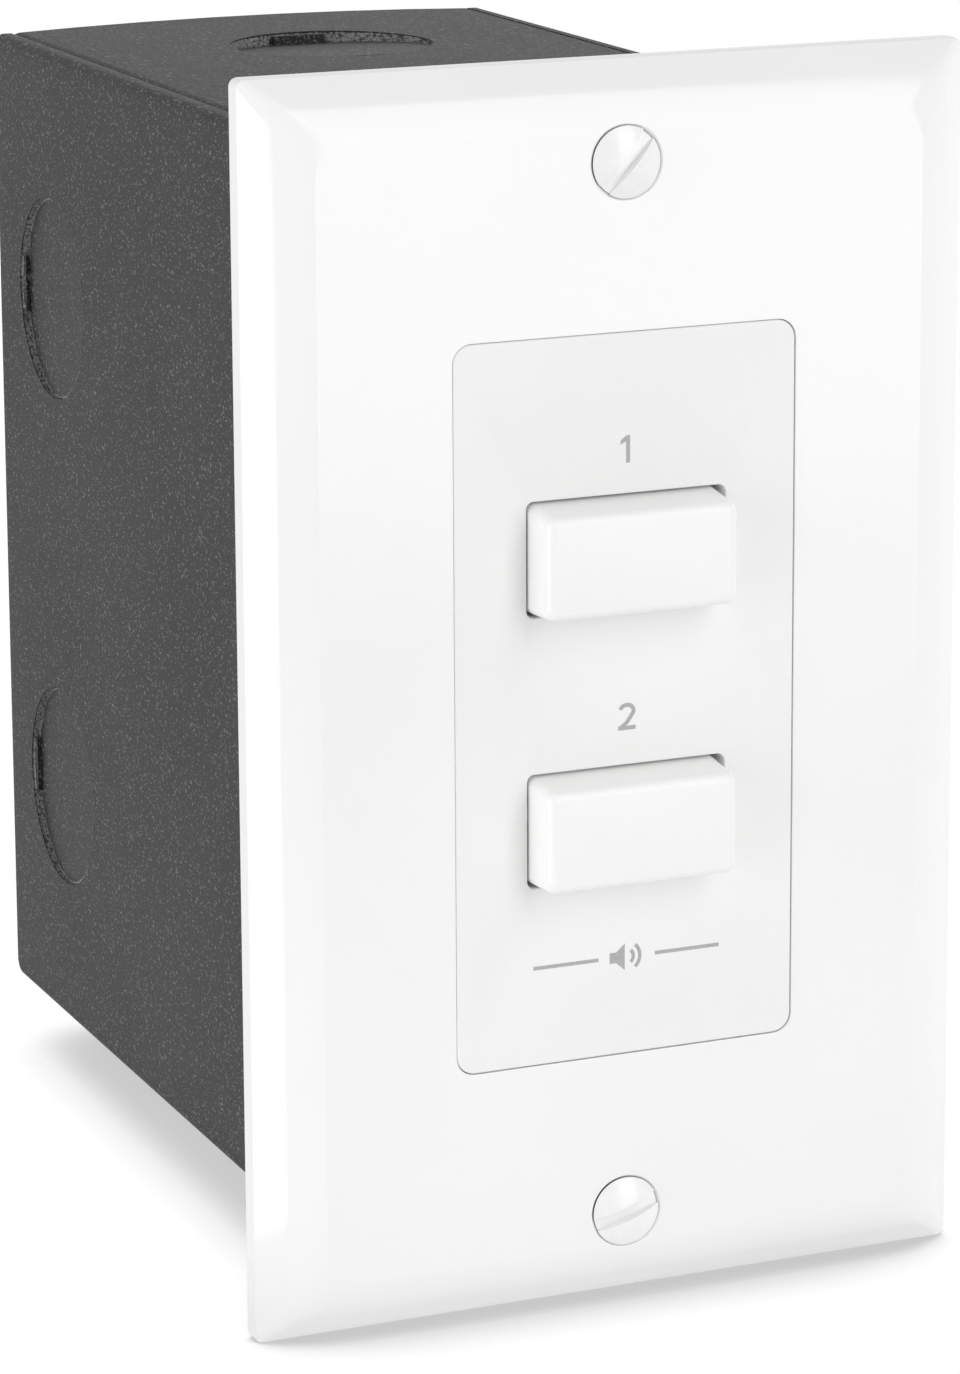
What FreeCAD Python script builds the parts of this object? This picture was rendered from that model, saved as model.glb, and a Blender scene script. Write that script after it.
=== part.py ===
import FreeCAD
import Part
import math
import os
import re
import Sketcher

# Speaker selector switch for a wall: two latching push buttons in a white wall plate, with the
# switches, board and terminals behind it in a steel box.
# Frame: X to the right and Z up as seen from the room, Y into the wall.  The origin is the middle
# of the wall plate on the wall plane.  A "lift" is a height above the wall plane, towards the room
# (along -Y), and a "depth" is a distance into the wall (along +Y).

Vector = FreeCAD.Vector
Rotation = FreeCAD.Rotation

doc = FreeCAD.newDocument("speaker_selector_switch")

# ------------------------------------------------------------------ driving dimensions, mm, degrees
SIZES = [
    # wall plate
    ("plate_width", 69.85),
    ("plate_height", 114.3),
    ("plate_depth", 5.6),
    ("plate_corner", 0.8),
    ("rim_height", 1.8),
    ("shoulder_inset", 2.5),
    ("shoulder_height", 3.9),
    ("shoulder_corner", 0.7),
    ("bevel_inset", 5.7),
    ("face_corner", 2.4),
    ("plate_wall", 1.8),
    ("face_thickness", 2.0),
    ("hollow_taper", 3.2),
    ("collar_wall", 1.2),
    ("plate_boss_diameter", 6.4),
    ("plate_boss_gap", 0.05),
    ("rib_thickness", 1.0),
    ("rib_gap", 0.4),
    ("rib_spacing", 26.0),
    # screws that hold the plate
    ("plate_screw_spacing", 96.84),
    ("plate_screw_diameter", 3.5),
    ("plate_screw_depth", 2.8),
    ("plate_head_diameter", 6.65),
    ("plate_head_cone", 2.1),
    ("plate_head_rise", 0.8),
    ("plate_screw_gap", 0.17),
    ("plate_slot_width", 1.0),
    ("plate_slot_depth", 1.1),
    ("upper_slot_angle", 49.0),
    ("lower_slot_angle", 18.0),
    ("thread_gap", 0.05),
    # insert
    ("insert_width", 33.0),
    ("insert_height", 66.4),
    ("insert_lift", 5.7),
    ("insert_corner", 1.8),
    ("insert_edge", 0.3),
    ("insert_gap", 0.15),
    ("insert_wall", 1.6),
    ("insert_face", 2.0),
    ("tunnel_wall", 1.4),
    ("window_width", 19.4),
    ("window_height", 10.5),
    ("window_corner", 0.7),
    ("upper_button_height", 13.5),
    ("lower_button_height", -11.4),
    ("flange_width", 41.0),
    ("flange_margin", 3.3),
    ("flange_depth", 2.0),
    ("flange_corner", 2.0),
    # steel strap
    ("strap_width", 41.0),
    ("strap_height", 88.0),
    ("strap_thickness", 1.2),
    ("strap_corner", 3.0),
    ("tongue_width", 22.0),
    ("tongue_gap", 2.85),
    ("strap_window_gap", 0.2),
    ("strap_slot_length", 8.0),
    ("slot_roundness", 0.98),
    ("strap_screw_spacing", 83.3),
    ("strap_screw_diameter", 3.5),
    ("strap_screw_depth", 8.0),
    ("strap_head_diameter", 6.0),
    ("strap_head_height", 1.9),
    ("strap_hole_gap", 0.2),
    # small machine screws, standoffs and board
    ("small_screw_x", 14.0),
    ("small_screw_reach", 4.8),
    ("small_screw_diameter", 3.0),
    ("small_head_diameter", 5.2),
    ("small_head_height", 1.8),
    ("small_hole_gap", 0.1),
    ("insert_screw_depth", 8.0),
    ("board_screw_length", 6.0),
    ("standoff_across_flats", 5.0),
    ("board_depth", 24.0),
    ("board_width", 44.0),
    ("board_margin", 5.0),
    ("board_thickness", 1.6),
    ("board_corner", 1.5),
    # push buttons
    ("button_travel", 3.5),
    ("cap_gap", 0.4),
    ("cap_taper", 0.17),
    ("cap_lift", 9.7),
    ("cap_back_depth", 5.0),
    ("cap_edge", 0.9),
    ("cap_wall", 1.2),
    ("cap_face", 1.8),
    ("cap_boss_diameter", 5.2),
    ("cap_boss_depth", 1.0),
    ("stem_side", 2.8),
    ("stem_lift", 6.0),
    ("stem_gap", 0.05),
    ("collar_diameter", 6.4),
    ("collar_depth", 2.6),
    ("collar_thickness", 1.0),
    ("collar_end_gap", 1.4),
    ("slider_width", 9.6),
    ("slider_height", 5.8),
    ("slider_stop_gap", 0.4),
    ("slider_length", 4.5),
    ("cam_groove_width", 1.8),
    ("cam_groove_depth", 1.0),
    # push switches
    ("housing_width", 17.0),
    ("housing_height", 9.6),
    ("housing_wall", 0.8),
    ("housing_side_wall", 2.0),
    ("housing_front_wall", 2.0),
    ("housing_stem_gap", 0.3),
    ("base_thickness", 1.6),
    ("bridge_thickness", 0.5),
    ("bridge_height", 6.0),
    ("bridge_length", 2.6),
    ("bridge_inset", 1.0),
    ("contact_gap", 0.15),
    ("contact_opening", 1.3),
    ("blade_thickness", 0.4),
    ("blade_width", 1.2),
    ("blade_spacing", 4.0),
    ("pin_reach", 0.9),
    ("latch_wire", 0.7),
    ("latch_inset", 0.6),
    ("latch_tip_inset", 0.5),
    ("latch_gap", 0.2),
    ("spring_wire", 0.5),
    ("spring_diameter", 4.9),
    ("spring_turns", 5),
    ("spring_gap", 0.05),
    # terminals
    ("terminal_pitch", 5.0),
    ("terminal_count", 4),
    ("terminal_height", 9.0),
    ("terminal_depth", 11.0),
    ("terminal_spacing", 28.0),
    ("wire_entry", 3.4),
    ("wire_entry_depth", 6.5),
    ("wire_entry_lift", 1.4),
    ("screw_well_diameter", 3.6),
    ("terminal_screw_diameter", 3.3),
    ("terminal_screw_height", 3.2),
    ("clamp_thickness", 0.8),
    ("terminal_pin_side", 1.0),
    ("terminal_pin_reach", 2.6),
    # resistors
    ("resistor_length", 26.0),
    ("resistor_side", 7.6),
    ("resistor_lift", 1.2),
    ("resistor_lead", 0.8),
    ("resistor_lead_reach", 3.0),
    # steel box
    ("box_width", 54.0),
    ("box_height", 101.6),
    ("box_depth", 92.1),
    ("box_sheet", 1.6),
    ("box_crown", 0.6),
    ("box_roll", 1.2),
    ("seam_gap", 0.1),
    ("weld_flange_width", 7.0),
    ("weld_flange_start", 6.0),
    ("weld_flange_end_gap", 10.0),
    ("ear_width", 13.0),
    ("ear_reach", 3.45),
    ("ear_gap", 1.0),
    ("knockout_diameter", 20.2),
    ("knockout_slit", 0.1),
    ("knockout_tab", 3.0),
    ("knockout_web", 5.6),
    ("knockout_web_reach", 1.1),
    ("knockout_web_sink", 0.25),
    ("side_knockout_spacing", 50.8),
    ("side_knockout_from_back", 17.5),
    ("side_knockout_tilt", 2.2),
    ("end_knockout_from_back", 26.6),
    ("end_knockout_tilt", 3.4),
    ("back_hole_diameter", 4.8),
    ("back_hole_spacing", 60.0),
    ("ground_dimple_diameter", 16.0),
    ("ground_dimple_depth", 3.0),
    ("ground_screw_diameter", 4.8),
    ("ground_screw_x", 12.0),
    ("ground_head_flats", 8.0),
    ("ground_head_height", 3.0),
    ("ground_washer_diameter", 10.5),
    ("ground_washer_height", 0.9),
    # how far a cutting tool runs past the faces that it cuts
    ("overrun", 0.1),
]

# sizes that follow from those above
TIED = [
    ("small_screw_z", "insert_height / 2 + small_screw_reach"),
    ("flange_height", "2 * (small_screw_z + flange_margin)"),
    ("board_height", "2 * (small_screw_z + board_margin)"),
    ("tongue_height", "plate_height - 2 * (plate_wall + tongue_gap)"),
    ("insert_mouth_width", "insert_width + 2 * insert_gap"),
    ("insert_mouth_height", "insert_height + 2 * insert_gap"),
    ("collar_lift", "strap_thickness + rib_gap"),
    ("roof_lift", "plate_depth - face_thickness"),
    ("boss_lift", "strap_thickness + plate_boss_gap"),
    ("ear_start", "strap_screw_spacing / 2 - ear_reach"),
    ("collar_end", "collar_depth + collar_thickness + button_travel"),
    ("housing_depth", "collar_end + spring_turns * spring_wire + collar_end_gap"),
    ("slider_depth", "board_depth - base_thickness - slider_stop_gap - button_travel - slider_length"),
    ("bridge_depth", "slider_depth + bridge_inset"),
    ("blade_depth", "bridge_depth + bridge_length + contact_opening"),
    ("board_back", "board_depth + board_thickness"),
    ("pin_depth", "board_back + pin_reach"),
    ("latch_depth", "housing_depth + latch_inset"),
    ("latch_tip_depth", "slider_depth + slider_length - latch_tip_inset"),
    ("clamp_depth", "board_back + wire_entry_lift"),
    ("well_depth", "clamp_depth + wire_entry"),
    ("lead_x", "resistor_length / 2 + resistor_lead_reach"),
    ("crown_radius", "((box_width / 2)^2 + box_crown^2) / (2 * box_crown)"),
    ("box_back", "box_depth - box_sheet"),
    ("dimple_depth", "box_back - ground_dimple_depth"),
    ("side_height", "box_height - 2 * (box_crown + box_sheet + seam_gap)"),
]

sizes = doc.addObject("Spreadsheet::Sheet", "sizes")
for row, (alias, value) in enumerate(SIZES + TIED, start=1):
    sizes.set("A%d" % row, alias)
    sizes.set("B%d" % row, "=%s" % value)
    sizes.setAlias("B%d" % row, alias)
doc.recompute()
SIZE = {alias: float(sizes.get(alias)) for alias, value in SIZES + TIED}

parts = {}


# ------------------------------------------------------------------ expressions and placement
def formula(text):
    """A formula of size names, with each name turned into its cell of the sheet."""
    return re.sub(r"[a-z_]+", lambda word: "sizes." + word[0] if word[0] in SIZE else word[0], str(text))


def bind(thing, prop, text):
    """Tie one property of an object to a formula of the sizes."""
    thing.setExpression(prop, formula(text))


TO_ROOM = Rotation(Vector(1, 0, 0), 90)
TO_WALL = Rotation(Vector(1, 0, 0), -90)
UPRIGHT = Rotation()
SIDEWAYS = Rotation(Vector(0, 1, 0), 90)


def place(thing, x, y, z, turn=UPRIGHT):
    """Put an object's own origin at a point given as three formulas, turned by a rotation."""
    thing.Placement = FreeCAD.Placement(Vector(), turn)
    for axis, text in (("x", x), ("y", y), ("z", z)):
        bind(thing, "Placement.Base." + axis, text)
    return thing


def name_part(thing, name):
    """Make an object the sub-part of this name."""
    thing.Label = name
    parts[name] = thing
    return thing


# ------------------------------------------------------------------ primitives and booleans
def block(name, low, size):
    """A box from its lowest corner and its size, both as three formulas."""
    thing = doc.addObject("Part::Box", name)
    for prop, text in zip(("Length", "Width", "Height"), size):
        bind(thing, prop, text)
    return place(thing, *low)


def rod(name, radius, height, at, turn=UPRIGHT):
    """A cylinder from the middle of its first end."""
    thing = doc.addObject("Part::Cylinder", name)
    bind(thing, "Radius", radius)
    bind(thing, "Height", height)
    return place(thing, *at, turn)


def taper(name, first, last, height, at, turn=UPRIGHT):
    """A cone between two radii."""
    thing = doc.addObject("Part::Cone", name)
    bind(thing, "Radius1", first)
    bind(thing, "Radius2", last)
    bind(thing, "Height", height)
    return place(thing, *at, turn)


def hexagon(name, across_flats, height, at, turn=UPRIGHT):
    """A six-sided prism from its size across the flats."""
    return small_rod(name, "(%s) / 2 / cos(30)" % across_flats, height, at, turn, 6)


def small_rod(name, radius, height, at, turn=UPRIGHT, sides=12):
    """A small round piece drawn as a prism of a few sides."""
    thing = doc.addObject("Part::Prism", name)
    thing.Polygon = sides
    bind(thing, "Circumradius", radius)
    bind(thing, "Height", height)
    return place(thing, *at, turn)


def dome(name, radius, rise, at, turn=UPRIGHT):
    """A spherical cap that stands on a circle of this radius."""
    ball = "((%s)^2 + (%s)^2) / (2 * (%s))" % (radius, rise, rise)
    thing = doc.addObject("Part::Sphere", name)
    bind(thing, "Radius", ball)
    bind(thing, "Angle1", "asin((%s - (%s)) / (%s))" % (ball, rise, ball))
    x, y, z = at
    return place(thing, x, y, "%s - (%s - (%s))" % (z, ball, rise), turn)


def fuse(name, shapes):
    thing = doc.addObject("Part::MultiFuse", name)
    thing.Shapes = shapes
    thing.Refine = True
    return thing


def cut(name, base, tools):
    tool = tools[0] if len(tools) == 1 else fuse(name + "_tools", tools)
    thing = doc.addObject("Part::Cut", name)
    thing.Base = base
    thing.Tool = tool
    thing.Refine = True
    return thing


def group(name, shapes):
    """Several separate solids in one sub-part."""
    thing = doc.addObject("Part::Compound", name)
    thing.Links = shapes
    return name_part(thing, name)


# ------------------------------------------------------------------ sketched bodies
def plane(body, role):
    return [feature for feature in body.Origin.OriginFeatures if feature.Role == role][0]


def new_sketch(body, name, lift, x="0", z="0", role="XZ_Plane"):
    """A sketch parallel to an origin plane of its own body, lifted and shifted by formulas."""
    sketch = body.newObject("Sketcher::SketchObject", name)
    sketch.AttachmentSupport = [(plane(body, role), "")]
    sketch.MapMode = "FlatFace"
    bind(sketch, "AttachmentOffset.Base.x", x)
    bind(sketch, "AttachmentOffset.Base.y", z)
    bind(sketch, "AttachmentOffset.Base.z", lift)
    return sketch


def drive(sketch, name, constraint, text):
    """Add a dimension to a sketch and tie it to a formula."""
    index = sketch.addConstraint(constraint)
    sketch.renameConstraint(index, name)
    bind(sketch, "Constraints." + name, text)


def rectangle(body, name, width, height, lift, x="0", z="0", role="XZ_Plane"):
    """A sharp-cornered rectangle about the sketch's own origin."""
    sketch = new_sketch(body, name, lift, x, z, role)
    corners = [Vector(-20, -30, 0), Vector(20, -30, 0), Vector(20, 30, 0), Vector(-20, 30, 0)]
    for side in range(4):
        sketch.addGeometry(Part.LineSegment(corners[side], corners[(side + 1) % 4]), False)
    for side in range(4):
        sketch.addConstraint(Sketcher.Constraint("Coincident", side, 2, (side + 1) % 4, 1))
        sketch.addConstraint(Sketcher.Constraint("Vertical" if side % 2 else "Horizontal", side))
    sketch.addConstraint(Sketcher.Constraint("Symmetric", 0, 1, 2, 1, -1, 1))
    drive(sketch, "width", Sketcher.Constraint("DistanceX", 0, 1, 0, 2, 40.0), width)
    drive(sketch, "height", Sketcher.Constraint("DistanceY", 1, 1, 1, 2, 60.0), height)
    return sketch


def rounded(body, name, width, height, radius, lift, x="0", z="0", role="XZ_Plane"):
    """A round-cornered rectangle about the sketch's own origin."""
    sketch = new_sketch(body, name, lift, x, z, role)
    a, b, r = 20.0, 30.0, 2.0
    lines = [
        (Vector(r - a, -b, 0), Vector(a - r, -b, 0)),
        (Vector(a, r - b, 0), Vector(a, b - r, 0)),
        (Vector(a - r, b, 0), Vector(r - a, b, 0)),
        (Vector(-a, b - r, 0), Vector(-a, r - b, 0)),
    ]
    for start, end in lines:
        sketch.addGeometry(Part.LineSegment(start, end), False)
    centres = [(a - r, r - b), (a - r, b - r), (r - a, b - r), (r - a, r - b)]
    for quarter, (cx, cz) in enumerate(centres):
        circle = Part.Circle(Vector(cx, cz, 0), Vector(0, 0, 1), r)
        start = math.radians(90 * quarter - 90)
        sketch.addGeometry(Part.ArcOfCircle(circle, start, start + math.pi / 2), False)
    for side in range(4):
        sketch.addConstraint(Sketcher.Constraint("Tangent", side, 2, 4 + side, 1))
        sketch.addConstraint(Sketcher.Constraint("Tangent", 4 + side, 2, (side + 1) % 4, 1))
        sketch.addConstraint(Sketcher.Constraint("Vertical" if side % 2 else "Horizontal", side))
    for corner in (5, 6, 7):
        sketch.addConstraint(Sketcher.Constraint("Equal", 4, corner))
    sketch.addConstraint(Sketcher.Constraint("Symmetric", 4, 3, 6, 3, -1, 1))
    drive(sketch, "width", Sketcher.Constraint("DistanceX", 3, 1, 1, 1, 2 * a), width)
    drive(sketch, "height", Sketcher.Constraint("DistanceY", 0, 1, 2, 1, 2 * b), height)
    drive(sketch, "radius", Sketcher.Constraint("Radius", 4, r), radius)
    return sketch


def circle(body, name, diameter, lift, x="0", z="0", role="XZ_Plane"):
    """A circle about the sketch's own origin."""
    sketch = new_sketch(body, name, lift, x, z, role)
    sketch.addGeometry(Part.Circle(Vector(), Vector(0, 0, 1), 2.0), False)
    sketch.addConstraint(Sketcher.Constraint("Coincident", 0, 3, -1, 1))
    drive(sketch, "diameter", Sketcher.Constraint("Diameter", 0, 4.0), diameter)
    return sketch


def pad(body, sketch, length):
    """Add material from a sketch along its normal, towards the room on an XZ sketch."""
    feature = body.newObject("PartDesign::Pad", sketch.Name + "_pad")
    feature.Profile = sketch
    bind(feature, "Length", length)
    return feature


def pocket(body, sketch, depth=None):
    """Remove material from a sketch along its normal, all the way when no depth is given."""
    doc.recompute()
    before = body.Shape.Volume
    feature = body.newObject("PartDesign::Pocket", sketch.Name + "_pocket")
    feature.Profile = sketch
    feature.Reversed = True
    if depth is None:
        feature.Type = "ThroughAll"
    else:
        bind(feature, "Length", depth)
    doc.recompute()
    if body.Shape.Volume > before - 1e-6:
        raise RuntimeError(feature.Name + " removes nothing")
    return feature


def loft(body, kind, name, first, others):
    """A straight-sided loft through outlines, as material ("Additive") or as a hollow."""
    feature = body.newObject("PartDesign::%sLoft" % kind, name)
    feature.Profile = first
    feature.Sections = others
    feature.Ruled = True
    return feature


def new_body(name):
    return doc.addObject("PartDesign::Body", name + "_body")


# ------------------------------------------------------------------ screws
def slotted_screw(name, head, shank, slot, at, turn, angle="0"):
    """A screw along its own Z with its seat at 0: a shank below, a head above, a slot across it.
    head is (radius, cone height, straight height, dome rise); shank is (radius, length)."""
    head_radius, cone, straight, rise = head
    shank_radius, length = shank
    slot_width, slot_depth = slot
    pieces = [rod(name + "_shank", shank_radius, length, ("0", "0", "-(%s)" % length))]
    if cone:
        base = "-(%s)" % cone
        pieces.append(taper(name + "_cone", shank_radius, head_radius, cone, ("0", "0", base)))
    if straight:
        pieces.append(rod(name + "_head", head_radius, straight, ("0", "0", "0")))
    if rise:
        pieces.append(dome(name + "_dome", head_radius, rise, ("0", "0", straight or "0")))
    top = "(%s) + (%s)" % (straight or "0", rise or "0")
    low = ("-(%s) - overrun" % head_radius, "-(%s) / 2" % slot_width, "%s - (%s)" % (top, slot_depth))
    groove = block(name + "_slot", low, ("2 * (%s + overrun)" % head_radius, slot_width,
                                         "(%s) + overrun" % slot_depth))
    body = pieces[0] if len(pieces) == 1 else fuse(name + "_blank", pieces)
    screw = cut(name, body, [groove])
    place(screw, *at, turn)
    return screw


def plain_screw(name, head, shank, at, turn):
    """A small screw along its own Z with its seat at 0: head and shank are (radius, height)."""
    base = "-(%s)" % shank[1]
    blank = fuse(name, [small_rod(name + "_shank", shank[0], shank[1], ("0", "0", base), sides=8),
                        small_rod(name + "_head", head[0], head[1], ("0", "0", "0"))])
    return place(blank, *at, turn)


def turned(turn, degrees):
    """A rotation that first spins a screw about its own axis."""
    return turn.multiply(Rotation(Vector(0, 0, 1), degrees))


# ------------------------------------------------------------------ wall plate
def wall_plate():
    body = new_body("wall_plate")
    rim = rounded(body, "plate_rim", "plate_width", "plate_height", "plate_corner", "0")
    pad(body, rim, "rim_height")
    outlines = [("0", "plate_corner", "rim_height"), ("shoulder_inset", "shoulder_corner", "shoulder_height")]
    steps = 3
    for step in range(1, steps + 1):
        part = "%d / %d" % (step, steps)
        left = "%d / %d" % (steps - step, steps)
        inset = "shoulder_inset + (bevel_inset - shoulder_inset) * " + part
        corner = "shoulder_corner + (face_corner - shoulder_corner) * " + part
        lift = "plate_depth - (plate_depth - shoulder_height) * (%s)^2" % left
        outlines.append((inset, corner, lift))
    sections = []
    for number, (inset, corner, lift) in enumerate(outlines):
        sections.append(rounded(
            body, "plate_outline_%s" % "abcde"[number],
            "plate_width - 2 * (%s)" % inset, "plate_height - 2 * (%s)" % inset, corner, lift))
    loft(body, "Additive", "plate_bevel", sections[0], sections[1:])
    mouth = rounded(body, "plate_hollow_mouth", "plate_width - 2 * plate_wall",
                    "plate_height - 2 * plate_wall", "shoulder_corner", "0")
    roof = rounded(body, "plate_hollow_roof", "plate_width - 2 * (plate_wall + hollow_taper)",
                   "plate_height - 2 * (plate_wall + hollow_taper)", "shoulder_corner", "roof_lift")
    loft(body, "Subtractive", "plate_hollow", mouth, [roof])
    collar = rounded(body, "plate_collar", "insert_mouth_width + 2 * collar_wall",
                     "insert_mouth_height + 2 * collar_wall", "insert_corner + collar_wall", "collar_lift")
    pad(body, collar, "roof_lift - collar_lift + face_thickness / 2")
    for sign in ("-", ""):
        rib = rectangle(body, "plate_rib_" + ("lower" if sign else "upper"),
                        "plate_width - 2 * (plate_wall + hollow_taper)", "rib_thickness",
                        "collar_lift", z=sign + "rib_spacing / 2")
        pad(body, rib, "roof_lift - collar_lift + face_thickness / 2")
        boss = circle(body, "plate_boss_" + ("lower" if sign else "upper"), "plate_boss_diameter",
                      "boss_lift", z=sign + "plate_screw_spacing / 2")
        pad(body, boss, "roof_lift - boss_lift + face_thickness / 2")
    opening = rounded(body, "plate_opening", "insert_mouth_width", "insert_mouth_height", "insert_corner",
                      "0")
    pocket(body, opening)
    tools = []
    for end, sign in (("upper", ""), ("lower", "-")):
        z = sign + "plate_screw_spacing / 2"
        tools.append(rod("plate_screw_hole_" + end, "plate_screw_diameter / 2 + plate_screw_gap",
                         "plate_depth + overrun", ("0", "0", z), TO_ROOM))
        tools.append(taper("plate_countersink_" + end, "plate_screw_diameter / 2 + plate_screw_gap",
                           "plate_head_diameter / 2 + plate_screw_gap", "plate_head_cone",
                           ("0", "plate_head_cone - plate_depth", z), TO_ROOM))
    name_part(cut("wall_plate", body, tools), "wall_plate")


def plate_screws():
    screws = []
    for end, sign in (("upper", ""), ("lower", "-")):
        angle = SIZE[end + "_slot_angle"]
        screws.append(slotted_screw(
            "plate_screw_" + end,
            ("plate_head_diameter / 2", "plate_head_cone", None, "plate_head_rise"),
            ("plate_screw_diameter / 2", "plate_depth + plate_screw_depth"),
            ("plate_slot_width", "plate_slot_depth"),
            ("0", "-plate_depth", sign + "plate_screw_spacing / 2"), turned(TO_ROOM, angle)))
    group("plate_screws", screws)


# ------------------------------------------------------------------ insert and strap
def front_insert():
    body = new_body("front_insert")
    flange = rounded(body, "insert_flange", "flange_width", "flange_height", "flange_corner",
                     "-flange_depth")
    pad(body, flange, "flange_depth")
    front = rounded(body, "insert_front", "insert_width", "insert_height", "insert_corner", "0")
    block_pad = pad(body, front, "insert_lift")
    doc.recompute()
    edges = []
    for number, edge in enumerate(block_pad.Shape.Edges, start=1):
        if edge.BoundBox.YMax < -SIZE["insert_lift"] + 0.01:
            edges.append("Edge%d" % number)
    soft = body.newObject("PartDesign::Fillet", "insert_front_edge")
    soft.Base = (block_pad, edges)
    bind(soft, "Radius", "insert_edge")
    hollow = rectangle(body, "insert_hollow", "insert_width - 2 * insert_wall",
                       "insert_height - 2 * insert_wall", "-flange_depth")
    pocket(body, hollow, "insert_lift + flange_depth - insert_face")
    for level in ("upper", "lower"):
        tunnel = rectangle(body, "insert_tunnel_" + level, "window_width + 2 * tunnel_wall",
                           "window_height + 2 * tunnel_wall", "-flange_depth", z=level + "_button_height")
        pad(body, tunnel, "insert_lift + flange_depth - insert_face / 2")
    for level in ("upper", "lower"):
        window = rounded(body, "insert_window_" + level, "window_width", "window_height",
                         "window_corner", "-flange_depth", z=level + "_button_height")
        pocket(body, window)
    tools = []
    for end, sign in (("upper", ""), ("lower", "-")):
        length = "(flange_height / 2 - ear_start + ear_gap + overrun)"
        low = "ear_start - ear_gap" if sign == "" else "-flange_height / 2 - overrun"
        tools.append(block("flange_notch_" + end, ("-ear_width / 2 - ear_gap", "-overrun", low),
                           ("ear_width + 2 * ear_gap", "flange_depth + 2 * overrun", length)))
    tools += small_screw_holes("insert_hole", "-overrun", "flange_depth + 2 * overrun")
    # webs from the tunnels to the side walls of the hollow
    webs = []
    for level in ("upper", "lower"):
        for side, sign in (("left", "-"), ("right", "")):
            x = "window_width / 2 + tunnel_wall - overrun"
            low = x if sign == "" else "-insert_width / 2 + insert_wall - overrun"
            span = "insert_width / 2 - insert_wall - window_width / 2 - tunnel_wall + 2 * overrun"
            z = level + "_button_height - rib_thickness / 2"
            webs.append(block("insert_web_%s_%s" % (level, side), (low, "insert_face / 2 - insert_lift", z),
                              (span, "insert_lift + flange_depth - insert_face / 2", "rib_thickness")))
    whole = fuse("insert_with_webs", [body] + webs)
    name_part(cut("front_insert", whole, tools), "front_insert")


def small_screw_holes(name, start, length):
    """Four clearance holes for the small screws, through one layer of the stack."""
    holes = []
    for x_sign in ("-", ""):
        for z_sign in ("-", ""):
            tag = "%s_%s_%s" % (name, "left" if x_sign else "right", "lower" if z_sign else "upper")
            holes.append(rod(tag, "small_screw_diameter / 2 + small_hole_gap", length,
                             (x_sign + "small_screw_x", start, z_sign + "small_screw_z"), TO_WALL))
    return holes


def mounting_strap():
    body = new_body("mounting_strap")
    plate = rounded(body, "strap_plate", "strap_width", "strap_height", "strap_corner", "0")
    pad(body, plate, "strap_thickness")
    tongue = rectangle(body, "strap_tongue", "tongue_width", "tongue_height", "0")
    pad(body, tongue, "strap_thickness")
    window = rounded(body, "strap_window", "insert_width + 2 * strap_window_gap",
                     "insert_height + 2 * strap_window_gap", "insert_corner", "0")
    pocket(body, window)
    for end, sign in (("upper", ""), ("lower", "-")):
        slot = rounded(body, "strap_slot_" + end, "strap_slot_length",
                       "strap_screw_diameter + 2 * strap_hole_gap",
                       "(strap_screw_diameter / 2 + strap_hole_gap) * slot_roundness", "0",
                       z=sign + "strap_screw_spacing / 2")
        pocket(body, slot)
        tapped = circle(body, "strap_tapped_" + end, "plate_screw_diameter + 2 * thread_gap", "0",
                        z=sign + "plate_screw_spacing / 2")
        pocket(body, tapped)
    tools = small_screw_holes("strap_hole", "-strap_thickness - overrun", "strap_thickness + 2 * overrun")
    name_part(cut("mounting_strap", body, tools), "mounting_strap")


def strap_screws():
    screws = []
    for end, sign in (("upper", ""), ("lower", "-")):
        screws.append(slotted_screw(
            "strap_screw_" + end,
            ("strap_head_diameter / 2", None, "strap_head_height", None),
            ("strap_screw_diameter / 2", "strap_thickness + strap_screw_depth"),
            ("plate_slot_width", "plate_slot_depth"),
            ("0", "-strap_thickness", sign + "strap_screw_spacing / 2"), turned(TO_ROOM, 30)))
    group("strap_screws", screws)


# ------------------------------------------------------------------ board stack
def small_screws(name, y, turn, length):
    """Four small pan-head screws with their heads at one face of the stack."""
    screws = []
    for x_sign in ("-", ""):
        for z_sign in ("-", ""):
            tag = "%s_%s_%s" % (name, "left" if x_sign else "right", "lower" if z_sign else "upper")
            screws.append(plain_screw(
                tag, ("small_head_diameter / 2", "small_head_height"), ("small_screw_diameter / 2", length),
                (x_sign + "small_screw_x", y, z_sign + "small_screw_z"), turn))
    group(name, screws)


def standoffs():
    posts = []
    for x_sign in ("-", ""):
        for z_sign in ("-", ""):
            tag = "standoff_%s_%s" % ("left" if x_sign else "right", "lower" if z_sign else "upper")
            at = (x_sign + "small_screw_x", "flange_depth", z_sign + "small_screw_z")
            whole = hexagon(tag + "_hexagon", "standoff_across_flats", "board_depth - flange_depth", at,
                            TO_WALL)
            bore = small_rod(tag + "_bore", "(small_screw_diameter / 2 + thread_gap) / cos(15)",
                             "board_depth - flange_depth", at, TO_WALL)
            posts.append(cut(tag, whole, [bore]))
    group("standoffs", posts)


def post(name, middle, width, height, start, length):
    """A square post along Y about a middle given as two formulas."""
    x, z = middle
    low = ("%s - %s / 2" % (x, width), start, "%s - %s / 2" % (z, height))
    return block(name, low, (width, length, height))


def post_hole(name, middle, width, height, start, length):
    """The hole for such a post through one layer of the stack."""
    x, z = middle
    loose = " + 2 * thread_gap"
    low = ("%s - (%s%s) / 2" % (x, width, loose), start + " - overrun",
           "%s - (%s%s) / 2" % (z, height, loose))
    return block(name, low, (width + loose, length + " + 2 * overrun", height + loose))


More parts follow.
